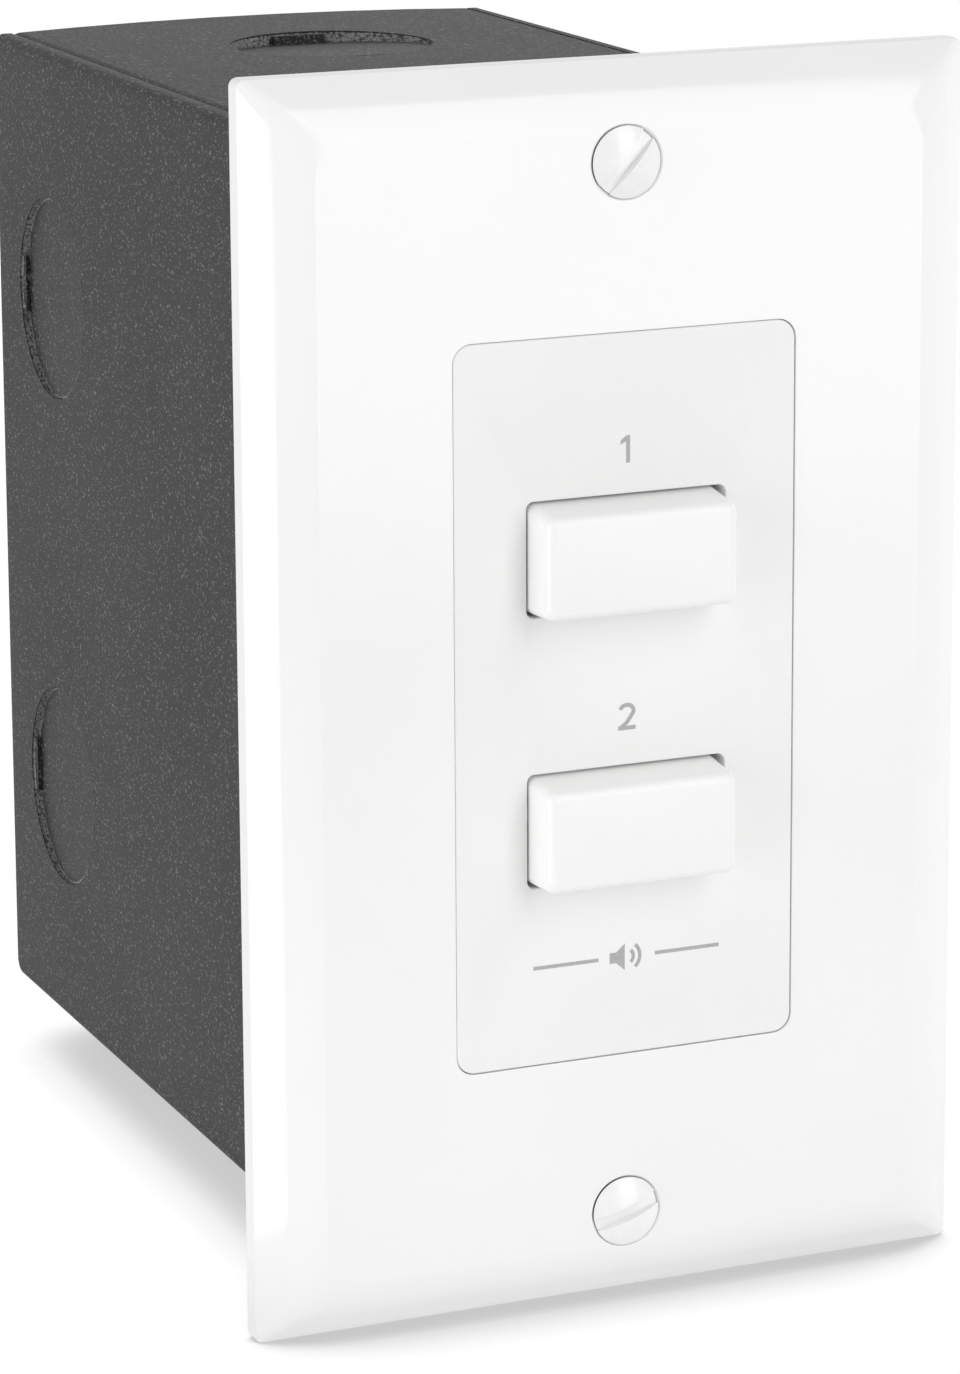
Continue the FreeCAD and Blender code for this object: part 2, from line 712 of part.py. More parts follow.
def circuit_board():
    body = new_body("circuit_board")
    outline = rounded(body, "board_outline", "board_width", "board_height", "board_corner",
                      "-board_back")
    pad(body, outline, "board_thickness")
    tools = small_screw_holes("board_hole", "board_depth - overrun", "board_thickness + 2 * overrun")
    for level in ("upper", "lower"):
        for number, middle in enumerate(blade_places(level)):
            tools.append(post_hole("board_slot_%s_%s" % (level, "abcd"[number]), middle,
                                   "blade_thickness", "blade_width", "board_depth", "board_thickness"))
    for block_name, z in TERMINAL_BLOCKS:
        for number, x in enumerate(terminal_places()):
            tools.append(post_hole("board_hole_%s_%s" % (block_name, "abcd"[number]), (x, z),
                                   "terminal_pin_side", "terminal_pin_side", "board_depth",
                                   "board_thickness"))
    for number, (x, z) in enumerate(lead_places()):
        tools.append(small_rod("board_lead_hole_%s" % "abcd"[number], "resistor_lead / 2 + 2 * thread_gap",
                               "board_thickness + 2 * overrun", (x, "board_depth - overrun", z), TO_WALL, 8))
    name_part(cut("circuit_board", body, tools), "circuit_board")


# ------------------------------------------------------------------ push buttons and their switches
def button_cap(level):
    body = new_body("button_cap_" + level)
    z = level + "_button_height"
    back = rectangle(body, level + "_cap_back", "window_width - 2 * cap_gap", "window_height - 2 * cap_gap",
                     "-cap_back_depth", z=z)
    front = rectangle(body, level + "_cap_front", "window_width - 2 * (cap_gap + cap_taper)",
                      "window_height - 2 * (cap_gap + cap_taper)", "cap_lift", z=z)
    shell = loft(body, "Additive", level + "_cap_shell", back, [front])
    doc.recompute()
    edges = []
    for number, edge in enumerate(shell.Shape.Edges, start=1):
        if edge.BoundBox.YMin < -SIZE["cap_lift"] + 0.01:
            edges.append("Edge%d" % number)
    soft = body.newObject("PartDesign::Fillet", level + "_cap_edge")
    soft.Base = (shell, edges)
    bind(soft, "Radius", "cap_edge")
    hollow = rectangle(body, level + "_cap_hollow", "window_width - 2 * (cap_gap + cap_taper + cap_wall)",
                       "window_height - 2 * (cap_gap + cap_taper + cap_wall)", "-cap_back_depth", z=z)
    pocket(body, hollow, "cap_back_depth + cap_lift - cap_face")
    boss = circle(body, level + "_cap_boss", "cap_boss_diameter", "-cap_boss_depth", z=z)
    pad(body, boss, "cap_boss_depth + cap_lift - cap_face / 2")
    socket = rectangle(body, level + "_cap_socket", "stem_side + 2 * stem_gap", "stem_side + 2 * stem_gap",
                       "-cap_boss_depth", z=z)
    pocket(body, socket, "cap_boss_depth + stem_lift + stem_gap")
    name_part(body, "button_cap_" + level)


def plunger(level):
    z = level + "_button_height"
    stem = block(level + "_stem", ("-stem_side / 2", "-stem_lift", z + " - stem_side / 2"),
                 ("stem_side", "stem_lift + slider_depth + slider_length / 2", "stem_side"))
    collar = small_rod(level + "_collar", "collar_diameter / 2", "collar_thickness",
                       ("0", "collar_depth", z), TO_WALL)
    slider = block(level + "_slider", ("-slider_width / 2", "slider_depth", z + " - slider_height / 2"),
                   ("slider_width", "slider_length", "slider_height"))
    groove = block(level + "_cam_groove",
                   ("-cam_groove_width / 2", "slider_depth - overrun",
                    z + " + slider_height / 2 - cam_groove_depth"),
                   ("cam_groove_width", "slider_length + 2 * overrun", "cam_groove_depth + overrun"))
    whole = fuse(level + "_plunger_blank", [stem, collar, slider])
    name_part(cut("plunger_" + level, whole, [groove]), "plunger_" + level)


def contact_bridges(level):
    plates = []
    for side, x in (("left", "-slider_width / 2 - bridge_thickness"), ("right", "slider_width / 2")):
        plates.append(block("%s_bridge_%s" % (level, side),
                            (x, "bridge_depth", level + "_button_height - bridge_height / 2"),
                            ("bridge_thickness", "bridge_length", "bridge_height")))
    group("contact_bridges_" + level, plates)


def blade_places(level):
    """The middles of the four fixed contacts of one switch, as (x, z) formulas."""
    x = "slider_width / 2 + bridge_thickness + contact_gap + blade_thickness / 2"
    return [("%s(%s)" % (x_sign, x), "%s_button_height %s blade_spacing / 2" % (level, z_sign))
            for x_sign in ("-", "") for z_sign in ("-", "+")]


def switch_pins(level):
    pins = []
    for number, (x, z) in enumerate(blade_places(level)):
        pins.append(post("%s_pin_%s" % (level, "abcd"[number]), (x, z), "blade_thickness", "blade_width",
                         "blade_depth", "pin_depth - blade_depth"))
    group("switch_pins_" + level, pins)


def switch_housing(level):
    z = level + "_button_height"
    case = block(level + "_case", ("-housing_width / 2", "housing_depth", z + " - housing_height / 2"),
                 ("housing_width", "board_depth - housing_depth", "housing_height"))
    cavity = block(level + "_cavity",
                   ("-housing_width / 2 + housing_side_wall", "housing_depth + housing_front_wall",
                    z + " - housing_height / 2 + housing_wall"),
                   ("housing_width - 2 * housing_side_wall",
                    "board_depth - housing_depth - housing_front_wall + overrun",
                    "housing_height - 2 * housing_wall"))
    half_mouth = "(stem_side / 2 + housing_stem_gap)"
    mouth = block(level + "_mouth",
                  ("-" + half_mouth, "housing_depth - overrun", "%s - %s" % (z, half_mouth)),
                  ("2 * " + half_mouth, "housing_front_wall + 2 * overrun", "2 * " + half_mouth))
    latch_hole = small_rod(level + "_latch_hole", "latch_wire / 2 + 2 * thread_gap",
                           "housing_depth + housing_front_wall - latch_depth + 2 * overrun",
                           ("0", "latch_depth - overrun", latch_height(level)), TO_WALL, 8)
    name_part(cut("switch_housing_" + level, case, [cavity, mouth, latch_hole]), "switch_housing_" + level)


def switch_base(level):
    z = level + "_button_height"
    wafer = block(level + "_wafer",
                  ("-housing_width / 2 + housing_side_wall + thread_gap", "board_depth - base_thickness",
                   z + " - housing_height / 2 + housing_wall + thread_gap"),
                  ("housing_width - 2 * housing_side_wall - 2 * thread_gap", "base_thickness",
                   "housing_height - 2 * housing_wall - 2 * thread_gap"))
    slots = []
    for number, middle in enumerate(blade_places(level)):
        slots.append(post_hole("%s_base_slot_%s" % (level, "abcd"[number]), middle, "blade_thickness",
                               "blade_width", "board_depth - base_thickness", "base_thickness"))
    name_part(cut("switch_base_" + level, wafer, slots), "switch_base_" + level)


def latch_height(level):
    return level + "_button_height + slider_height / 2 + latch_gap + latch_wire / 2"


def latch_pin(level):
    z = latch_height(level)
    tip = level + "_button_height + slider_height / 2 - cam_groove_depth + latch_gap"
    arm = small_rod(level + "_latch_arm", "latch_wire / 2", "latch_tip_depth - latch_depth",
                    ("0", "latch_depth", z), TO_WALL, 8)
    leg = small_rod(level + "_latch_leg", "latch_wire / 2", "cam_groove_depth + latch_wire",
                    ("0", "latch_tip_depth - latch_wire / 2", tip), sides=8)
    name_part(fuse("latch_pin_" + level, [arm, leg]), "latch_pin_" + level)


def return_spring(level):
    """A coil of straight steps: the points climb evenly on a circle about the stem."""
    radius = SIZE["spring_diameter"] / 2
    wire = SIZE["spring_wire"] / 2
    start = SIZE["collar_depth"] + SIZE["collar_thickness"] + wire + SIZE["spring_gap"]
    end = SIZE["housing_depth"] - wire - SIZE["spring_gap"]
    turn_count = 10
    step_count = int(turn_count * SIZE["spring_turns"])
    points = []
    for step in range(step_count + 1):
        angle = 2 * math.pi * step / turn_count
        y = start + (end - start) * step / step_count
        points.append(Vector(radius * math.cos(angle), y, radius * math.sin(angle)))
    direction = points[1] - points[0]
    side = direction.cross(Vector(0, 1, 0)).normalize()
    up = direction.cross(side).normalize()
    ring_count = 5
    ring = []
    for corner in range(ring_count + 1):
        angle = 2 * math.pi * corner / ring_count
        ring.append(points[0] + side * wire * math.cos(angle) + up * wire * math.sin(angle))
    coil = Part.makePolygon(points).makePipeShell([Part.makePolygon(ring)], True, False, 1)
    spring = doc.addObject("Part::Feature", "return_spring_" + level)
    spring.Shape = coil
    place(spring, "0", "0", level + "_button_height")
    name_part(spring, "return_spring_" + level)


# ------------------------------------------------------------------ terminals and resistors
TERMINAL_BLOCKS = [
    ("upper_terminal_block", "terminal_spacing"),
    ("input_terminal_block", "0"),
    ("lower_terminal_block", "-terminal_spacing"),
]


def terminal_places():
    """The middles of the ways of one block along X."""
    count = int(SIZE["terminal_count"])
    return ["(%g) * terminal_pitch" % (number - (count - 1) / 2) for number in range(count)]


def terminal_block(name, z):
    case = block(name + "_case",
                 ("-terminal_count * terminal_pitch / 2", "board_back", "%s - terminal_height / 2" % z),
                 ("terminal_count * terminal_pitch", "terminal_depth", "terminal_height"))
    tools = []
    if name.startswith("upper"):
        entry_z = "%s + terminal_height / 2 - wire_entry_depth" % z
    else:
        entry_z = "%s - terminal_height / 2 - overrun" % z
    for number, x in enumerate(terminal_places()):
        letter = "abcd"[number]
        low = ("%s - wire_entry / 2" % x, "clamp_depth", entry_z)
        tools.append(block("%s_entry_%s" % (name, letter), low,
                           ("wire_entry", "wire_entry", "wire_entry_depth + overrun")))
        tools.append(small_rod("%s_well_%s" % (name, letter), "screw_well_diameter / 2 / cos(15)",
                               "board_back + terminal_depth - well_depth + 2 * overrun",
                               (x, "well_depth - overrun", z), TO_WALL))
        tools.append(post_hole("%s_pin_hole_%s" % (name, letter), (x, z), "terminal_pin_side",
                               "terminal_pin_side", "board_back", "wire_entry_lift"))
    name_part(cut(name, case, tools), name)


def terminal_hardware():
    screws = []
    clamps = []
    pins = []
    for name, z in TERMINAL_BLOCKS:
        for number, x in enumerate(terminal_places()):
            tag = "%s_%s" % (name, "abcd"[number])
            screws.append(small_rod(tag + "_screw", "terminal_screw_diameter / 2", "terminal_screw_height",
                                    (x, "well_depth", z), TO_WALL))
            clamps.append(post(tag + "_clamp", (x, z), "(wire_entry - 2 * thread_gap)",
                               "terminal_screw_diameter", "clamp_depth", "clamp_thickness"))
            pins.append(post(tag + "_pin", (x, z), "terminal_pin_side", "terminal_pin_side",
                             "board_depth - terminal_pin_reach",
                             "terminal_pin_reach + board_thickness + wire_entry_lift"))
    group("terminal_screws", screws)
    group("wire_clamps", clamps)
    group("terminal_pins", pins)


def lead_places():
    """Where the resistor leads go through the board, as (x, z) formulas."""
    return [(x_sign + "lead_x", z_sign + "terminal_spacing / 2")
            for z_sign in ("", "-") for x_sign in ("-", "")]


def resistors():
    bodies = []
    leads = []
    middle = "board_back + resistor_lift + resistor_side / 2"
    for level, z in (("upper", "terminal_spacing / 2"), ("lower", "-terminal_spacing / 2")):
        bodies.append(post(level + "_resistor", ("0", z), "resistor_length", "resistor_side",
                           "board_back + resistor_lift", "resistor_side"))
        for side, sign in (("left", "-"), ("right", "")):
            turn = SIDEWAYS if sign == "" else SIDEWAYS.inverted()
            out = small_rod("%s_lead_out_%s" % (level, side), "resistor_lead / 2",
                            "resistor_lead_reach + resistor_lead / 2",
                            (sign + "resistor_length / 2", middle, z), turn, 8)
            drop = small_rod("%s_lead_drop_%s" % (level, side), "resistor_lead / 2",
                             middle + " - board_depth + resistor_lead_reach / 2",
                             (sign + "lead_x", "board_depth - resistor_lead_reach / 2", z), TO_WALL, 8)
            leads.append(fuse("%s_lead_%s" % (level, side), [out, drop]))
    group("protection_resistors", bodies)
    group("resistor_leads", leads)


# ------------------------------------------------------------------ steel box
def barrel(body, name, width, side_height, radius, lift):
    """A rectangle about the sketch's own origin whose top and bottom bulge as arcs of one radius."""
    sketch = new_sketch(body, name, lift)
    a, b, r = 20.0, 30.0, 60.0
    half = math.asin(a / r)
    rise = r * math.cos(half)
    sketch.addGeometry(Part.LineSegment(Vector(a, -b, 0), Vector(a, b, 0)), False)
    sketch.addGeometry(Part.LineSegment(Vector(-a, b, 0), Vector(-a, -b, 0)), False)
    for middle, turn in ((b - rise, math.pi / 2), (rise - b, 3 * math.pi / 2)):
        whole = Part.Circle(Vector(0, middle, 0), Vector(0, 0, 1), r)
        sketch.addGeometry(Part.ArcOfCircle(whole, turn - half, turn + half), False)
    for first, second in (((0, 2), (2, 1)), ((2, 2), (1, 1)), ((1, 2), (3, 1)), ((3, 2), (0, 1))):
        sketch.addConstraint(Sketcher.Constraint("Coincident", *first, *second))
    for side in (0, 1):
        sketch.addConstraint(Sketcher.Constraint("Vertical", side))
        sketch.addConstraint(Sketcher.Constraint("PointOnObject", 2 + side, 3, -2))
    sketch.addConstraint(Sketcher.Constraint("Symmetric", 0, 1, 1, 1, -1, 1))
    sketch.addConstraint(Sketcher.Constraint("Equal", 2, 3))
    drive(sketch, "width", Sketcher.Constraint("DistanceX", 3, 1, 3, 2, 2 * a), width)
    drive(sketch, "height", Sketcher.Constraint("DistanceY", 0, 1, 0, 2, 2 * b), side_height)
    drive(sketch, "radius", Sketcher.Constraint("Radius", 2, r), radius)
    return sketch


def box_body():
    """Top, back and bottom folded from one sheet, slightly crowned, with an ear at each front edge."""
    body = new_body("box_body")
    outside = barrel(body, "box_outside", "box_width", "box_height - 2 * box_crown", "crown_radius",
                     "-box_depth")
    whole = pad(body, outside, "box_depth")
    doc.recompute()
    edges = []
    for number, edge in enumerate(whole.Shape.Edges, start=1):
        if edge.BoundBox.YMax > SIZE["box_depth"] - 0.01:
            edges.append("Edge%d" % number)
    soft = body.newObject("PartDesign::Fillet", "box_roll_edges")
    soft.Base = (whole, edges)
    bind(soft, "Radius", "box_roll")
    inner_radius = "(crown_radius - box_sheet)"
    reach = "(box_width / 2 + box_sheet)"
    inner_height = "2 * (box_height / 2 - crown_radius + sqrt(%s^2 - %s^2))" % (inner_radius, reach)
    inside = barrel(body, "box_inside", "2 * " + reach, inner_height, inner_radius, "-box_back")
    pocket(body, inside, "box_depth")
    pieces = [body]
    holes = []
    slugs = []
    for end, sign in (("upper", ""), ("lower", "-")):
        low = "ear_start" if sign == "" else "-box_height / 2 + box_sheet / 2"
        pieces.append(block("box_ear_" + end, ("-ear_width / 2", "0", low),
                            ("ear_width", "box_sheet", "box_height / 2 - box_sheet / 2 - ear_start")))
        holes.append(rod("box_ear_thread_" + end, "strap_screw_diameter / 2 + thread_gap",
                         "box_sheet + 2 * overrun",
                         ("0", "-overrun", sign + "strap_screw_spacing / 2"), TO_WALL))
        holes.append(rod("box_plate_screw_notch_" + end, "plate_screw_diameter / 2 + 2 * strap_hole_gap",
                         "plate_screw_depth + 2 * strap_hole_gap",
                         ("0", "-overrun", sign + "plate_screw_spacing / 2"), TO_WALL))
        holes.append(rod("box_back_hole_" + end, "back_hole_diameter / 2", "box_sheet + 2 * overrun",
                         ("0", "box_back - overrun", sign + "back_hole_spacing / 2"), TO_WALL))
        y = "box_depth - end_knockout_from_back"
        low = "box_height / 2 - 2 * box_sheet" if sign == "" else "-box_height / 2 - box_sheet"
        holes.append(rod("box_knockout_hole_" + end, "knockout_diameter / 2 + knockout_slit", "3 * box_sheet",
                         ("0", y, low)))
        slugs.append(knockout_slug("box_knockout_" + end, ("0", y, sign + "box_height / 2"),
                                   "+Z" if sign == "" else "-Z", "end_knockout_tilt"))
    pieces.append(rod("box_dimple", "ground_dimple_diameter / 2", "ground_dimple_depth + box_sheet / 2",
                      ("ground_screw_x", "dimple_depth", "0"), TO_WALL))
    holes.append(rod("box_dimple_hollow", "ground_dimple_diameter / 2 - box_sheet",
                     "ground_dimple_depth + overrun",
                     ("ground_screw_x", "dimple_depth + box_sheet", "0"), TO_WALL))
    holes.append(rod("box_dimple_hole", "ground_screw_diameter / 2 + thread_gap", "box_depth - dimple_depth",
                     ("ground_screw_x", "dimple_depth - overrun", "0"), TO_WALL))
    drilled = cut("box_drilled", fuse("box_eared", pieces), holes)
    name_part(fuse("box_body", [drilled] + slugs), "box_body")


def knockout_slug(name, centre, outward, tilt):
    """The slug of a half-sheared knockout: a disc that hangs on a tab at its front edge, is pressed
    in at its rear by an angle, and is held there by a web."""
    disc = rod(name + "_disc", "knockout_diameter / 2", "box_sheet",
               ("0", "knockout_diameter / 2", "-box_sheet"))
    tab = block(name + "_tab", ("-knockout_tab / 2", "-4 * knockout_slit", "-box_sheet"),
                ("knockout_tab", "box_sheet", "box_sheet"))
    slug = fuse(name + "_slug", [disc, tab])
    lean = Rotation(Vector(1, 0, 0), -SIZE[tilt])
    turns = {"+Z": 0, "+X": 90, "-Z": 180, "-X": -90}
    x, y, z = centre
    turn = Rotation(Vector(0, 1, 0), turns[outward])
    place(slug, x, "%s - knockout_diameter / 2" % y, z, turn.multiply(lean))
    low = ("-knockout_web / 2", "knockout_diameter / 2 - knockout_web_reach", "knockout_web_sink - box_sheet")
    web = block(name + "_web_blank", low, ("knockout_web", "knockout_web_reach + box_sheet / 2",
                                           "box_sheet - 2 * knockout_web_sink"))
    held = doc.addObject("Part::Compound", name + "_held")
    held.Links = [web]
    place(held, x, y, z, turn)
    return fuse(name + "_whole", [slug, held])


def box_side(side, sign):
    """A side panel with flanges at its top and bottom, spot welded under the folded sheet."""
    low_x = "box_width / 2 - box_sheet" if sign == "" else "-box_width / 2"
    panel = block("side_panel_" + side, (low_x, "0", "-side_height / 2"),
                  ("box_sheet", "box_back - seam_gap", "side_height"))
    inner = "box_width / 2 - box_sheet / 2"
    flange_x = inner + " - weld_flange_width" if sign == "" else "-(%s)" % inner
    pieces = [panel]
    for end, z in (("upper", "side_height / 2 - box_sheet"), ("lower", "-side_height / 2")):
        pieces.append(block("side_flange_%s_%s" % (side, end), (flange_x, "weld_flange_start", z),
                            ("weld_flange_width", "box_depth - weld_flange_start - weld_flange_end_gap",
                             "box_sheet")))
    holes = []
    slugs = []
    for end, z_sign in (("upper", ""), ("lower", "-")):
        y = "box_depth - side_knockout_from_back"
        z = z_sign + "side_knockout_spacing / 2"
        start = "box_width / 2 - 2 * box_sheet" if sign == "" else "-box_width / 2 - box_sheet"
        holes.append(rod("side_knockout_hole_%s_%s" % (side, end), "knockout_diameter / 2 + knockout_slit",
                         "3 * box_sheet", (start, y, z), SIDEWAYS))
        slugs.append(knockout_slug("side_knockout_%s_%s" % (side, end), (sign + "box_width / 2", y, z),
                                   "+X" if sign == "" else "-X", "side_knockout_tilt"))
    drilled = cut("side_drilled_" + side, fuse("side_bent_" + side, pieces), holes)
    name_part(fuse("box_side_" + side, [drilled] + slugs), "box_side_" + side)


def ground_screw():
    """A hexagonal washer-head screw in the raised dimple of the back."""
    washer = rod("ground_washer", "ground_washer_diameter / 2", "ground_washer_height", ("0", "0", "0"))
    head = hexagon("ground_hexagon", "ground_head_flats", "ground_head_height + ground_washer_height",
                   ("0", "0", "0"))
    length = "ground_dimple_depth + box_sheet - 2 * strap_hole_gap"
    shank = rod("ground_shank", "ground_screw_diameter / 2", length, ("0", "0", "-(%s)" % length))
    slot = block("ground_slot", ("-ground_washer_diameter / 2", "-plate_slot_width / 2",
                                 "ground_head_height + ground_washer_height - plate_slot_depth"),
                 ("ground_washer_diameter", "plate_slot_width", "plate_slot_depth + overrun"))
    blank = fuse("ground_blank", [washer, head, shank])
    screw = cut("ground_screw", blank, [slot])
    place(screw, "ground_screw_x", "dimple_depth", "0", TO_ROOM)
    name_part(screw, "ground_screw")


# ------------------------------------------------------------------ the assembly
wall_plate()
plate_screws()
front_insert()
mounting_strap()
strap_screws()
small_screws("insert_screws", "-strap_thickness", TO_ROOM, "strap_thickness + insert_screw_depth")
standoffs()
circuit_board()
small_screws("board_screws", "board_depth + board_thickness", TO_WALL, "board_thickness + board_screw_length")
for level in ("upper", "lower"):
    button_cap(level)
    plunger(level)
    contact_bridges(level)
    return_spring(level)
    switch_housing(level)
    switch_base(level)
    switch_pins(level)
    latch_pin(level)
for block_name, block_z in TERMINAL_BLOCKS:
    terminal_block(block_name, block_z)
terminal_hardware()
resistors()
box_body()
box_side("left", "-")
box_side("right", "")
ground_screw()
doc.recompute()

# ------------------------------------------------------------------ checks and files
for thing in doc.Objects:
    if "Invalid" in thing.State or "Error" in thing.State:
        raise RuntimeError("%s failed: %s" % (thing.Name, thing.State))
for name, thing in parts.items():
    if thing.Shape.isNull() or not thing.Shape.isValid() or not thing.Shape.Solids:
        raise RuntimeError(name + " has no valid solid")

os.makedirs("parts", exist_ok=True)
for name, thing in parts.items():
    thing.Shape.exportStep("parts/%s.step" % name)
    print("%-26s %2d solids %10.1f mm3" % (name, len(thing.Shape.Solids), thing.Shape.Volume))
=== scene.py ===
import math

import bmesh
import bpy
import numpy as np
from mathutils import Matrix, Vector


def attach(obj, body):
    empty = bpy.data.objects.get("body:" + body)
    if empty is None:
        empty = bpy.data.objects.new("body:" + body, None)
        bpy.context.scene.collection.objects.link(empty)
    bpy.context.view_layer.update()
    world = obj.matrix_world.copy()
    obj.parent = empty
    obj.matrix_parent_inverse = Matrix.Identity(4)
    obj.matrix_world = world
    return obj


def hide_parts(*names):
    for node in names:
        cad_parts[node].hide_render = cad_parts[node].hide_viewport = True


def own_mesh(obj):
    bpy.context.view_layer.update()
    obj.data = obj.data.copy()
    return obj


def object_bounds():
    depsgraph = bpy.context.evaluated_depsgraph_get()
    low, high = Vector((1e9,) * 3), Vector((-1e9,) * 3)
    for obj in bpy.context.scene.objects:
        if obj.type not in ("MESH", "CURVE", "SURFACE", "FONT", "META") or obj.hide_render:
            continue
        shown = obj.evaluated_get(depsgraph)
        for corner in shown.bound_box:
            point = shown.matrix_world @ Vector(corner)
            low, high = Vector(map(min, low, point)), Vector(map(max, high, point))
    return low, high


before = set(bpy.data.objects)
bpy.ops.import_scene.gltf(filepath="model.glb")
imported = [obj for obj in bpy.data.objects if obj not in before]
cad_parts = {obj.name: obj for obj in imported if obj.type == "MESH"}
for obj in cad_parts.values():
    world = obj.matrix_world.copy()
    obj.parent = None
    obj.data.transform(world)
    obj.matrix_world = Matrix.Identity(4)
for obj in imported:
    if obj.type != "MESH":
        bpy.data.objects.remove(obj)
cad_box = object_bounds()

# ---- Camera -----------------------------------------------------------------------------------
# A long lens nearly half a metre away, to the left of the switch and a little above it.  Its view
# is shifted down, so it tilts less and the upright edges of the plate stay nearly parallel.
azimuth, elevation, roll = np.radians([-22.8312, 12.0688, -0.3135])
aside, above, distance, film = -10.9259, 18.3671, 462.0698, 36.0     # millimetres
picture_height, focal_length, drop = 1374, 5105.42, 206.0            # pixels
back = np.array([math.sin(azimuth) * math.cos(elevation),
                 -math.cos(azimuth) * math.cos(elevation), math.sin(elevation)])
level = np.cross([0.0, 0.0, 1.0], back) / math.cos(elevation)
rising = np.cross(back, level)
right = level * math.cos(roll) + rising * math.sin(roll)
up = rising * math.cos(roll) - level * math.sin(roll)
place = (right * aside + up * above + back * distance) / 1000
stand = np.eye(4)
stand[:3, :] = np.stack([right, up, back, place], -1)
camera = bpy.data.objects.new("camera", bpy.data.cameras.new("camera"))
camera.matrix_world = Matrix(stand.tolist())
camera.data.sensor_fit = "VERTICAL"
camera.data.sensor_width = camera.data.sensor_height = film
camera.data.lens = focal_length / picture_height * film
camera.data.shift_y = -drop / picture_height
camera.data.clip_start, camera.data.clip_end = 0.01, 50.0
bpy.context.scene.collection.objects.link(camera)
bpy.context.scene.camera = camera

# ---- Wall plate -------------------------------------------------------------------------------
# The cover plate, moulded in glossy white ABS.  It is hollow behind, with a two-step bevel, one
# large opening with a collar, two cross ribs, and a boss round each countersunk screw hole.


def outline(half_width, half_height, radius, lift, x=0.0, z=0.0):
    """A rounded rectangle parallel to the wall, in millimetres: four quarter circles about the
    corner centres, each followed by a straight run of 12 equal steps to the next one.  It turns
    from +X to +Z, and lift is its height above the wall."""
    angle = np.linspace(0.0, math.pi / 2, 9)[None, :] + np.arange(4)[:, None] * math.pi / 2
    centre_x = np.array([1, -1, -1, 1])[:, None] * (half_width - radius)
    centre_z = np.array([1, 1, -1, -1])[:, None] * (half_height - radius)
    arc = np.stack([centre_x + radius * np.cos(angle), centre_z + radius * np.sin(angle)], -1)
    share = np.linspace(0.0, 1.0, 13)[1:-1][None, :, None]
    run = arc[:, -1:] * (1 - share) + np.roll(arc, -1, axis=0)[:, :1] * share
    flat = np.concatenate([arc, run], axis=1).reshape(-1, 2) + [x, z]
    return np.stack([flat[:, 0], np.full(len(flat), -lift), flat[:, 1]], -1)


def turned_rings(profile, x, z, around=48):
    """Circles about an axis through (x, z), square to the wall, one for each (radius, lift) of
    the profile: the point is x + radius cos, z + radius sin of an evenly stepped angle."""
    angle = np.linspace(0.0, 2 * math.pi, around, endpoint=False)
    return [np.stack([x + radius * np.cos(angle), np.full(around, -lift), z + radius * np.sin(angle)], -1)
            for radius, lift in profile]


def shell(name, rings, ends=True):
    """Quads from ring to ring, each ring with equally many points, in millimetres.  With ends the
    first and last ring are closed by a face, and without them the last ring joins the first."""
    grid = np.stack(rings)
    count, around = grid.shape[:2]
    row = np.arange(count - 1 if ends else count)[:, None]
    here, after = np.arange(around)[None, :], (np.arange(around)[None, :] + 1) % around
    above = (row + 1) % count
    quads = np.stack([row * around + here, row * around + after,
                      above * around + after, above * around + here], -1)
    faces = quads.reshape(-1, 4).tolist()
    if ends:
        faces += [list(range(around))[::-1], list(range((count - 1) * around, count * around))]
    mesh = bpy.data.meshes.new(name)
    mesh.from_pydata((grid.reshape(-1, 3) / 1000).tolist(), [], faces)
    mesh.update()
    piece = bpy.data.objects.new(name, mesh)
    bpy.context.scene.collection.objects.link(piece)
    return piece


def settle(piece):
    """Put what a piece's modifiers make into its mesh."""
    made = bpy.data.meshes.new_from_object(piece.evaluated_get(bpy.context.evaluated_depsgraph_get()))
    piece.modifiers.clear()
    piece.data = made


def carve(piece, tool, operation="DIFFERENCE"):
    """Cut a closed tool out of a piece, or join it on, and delete the tool."""
    change = piece.modifiers.new("carve", "BOOLEAN")
    change.object, change.operation, change.solver = tool, operation, "EXACT"
    settle(piece)
    bpy.data.objects.remove(tool)


def smooth(piece, degrees):
    """Shade smoothly across every edge flatter than an angle."""
    piece.data.polygons.foreach_set("use_smooth", np.ones(len(piece.data.polygons), bool))
    piece.data.set_sharp_from_angle(angle=math.radians(degrees))


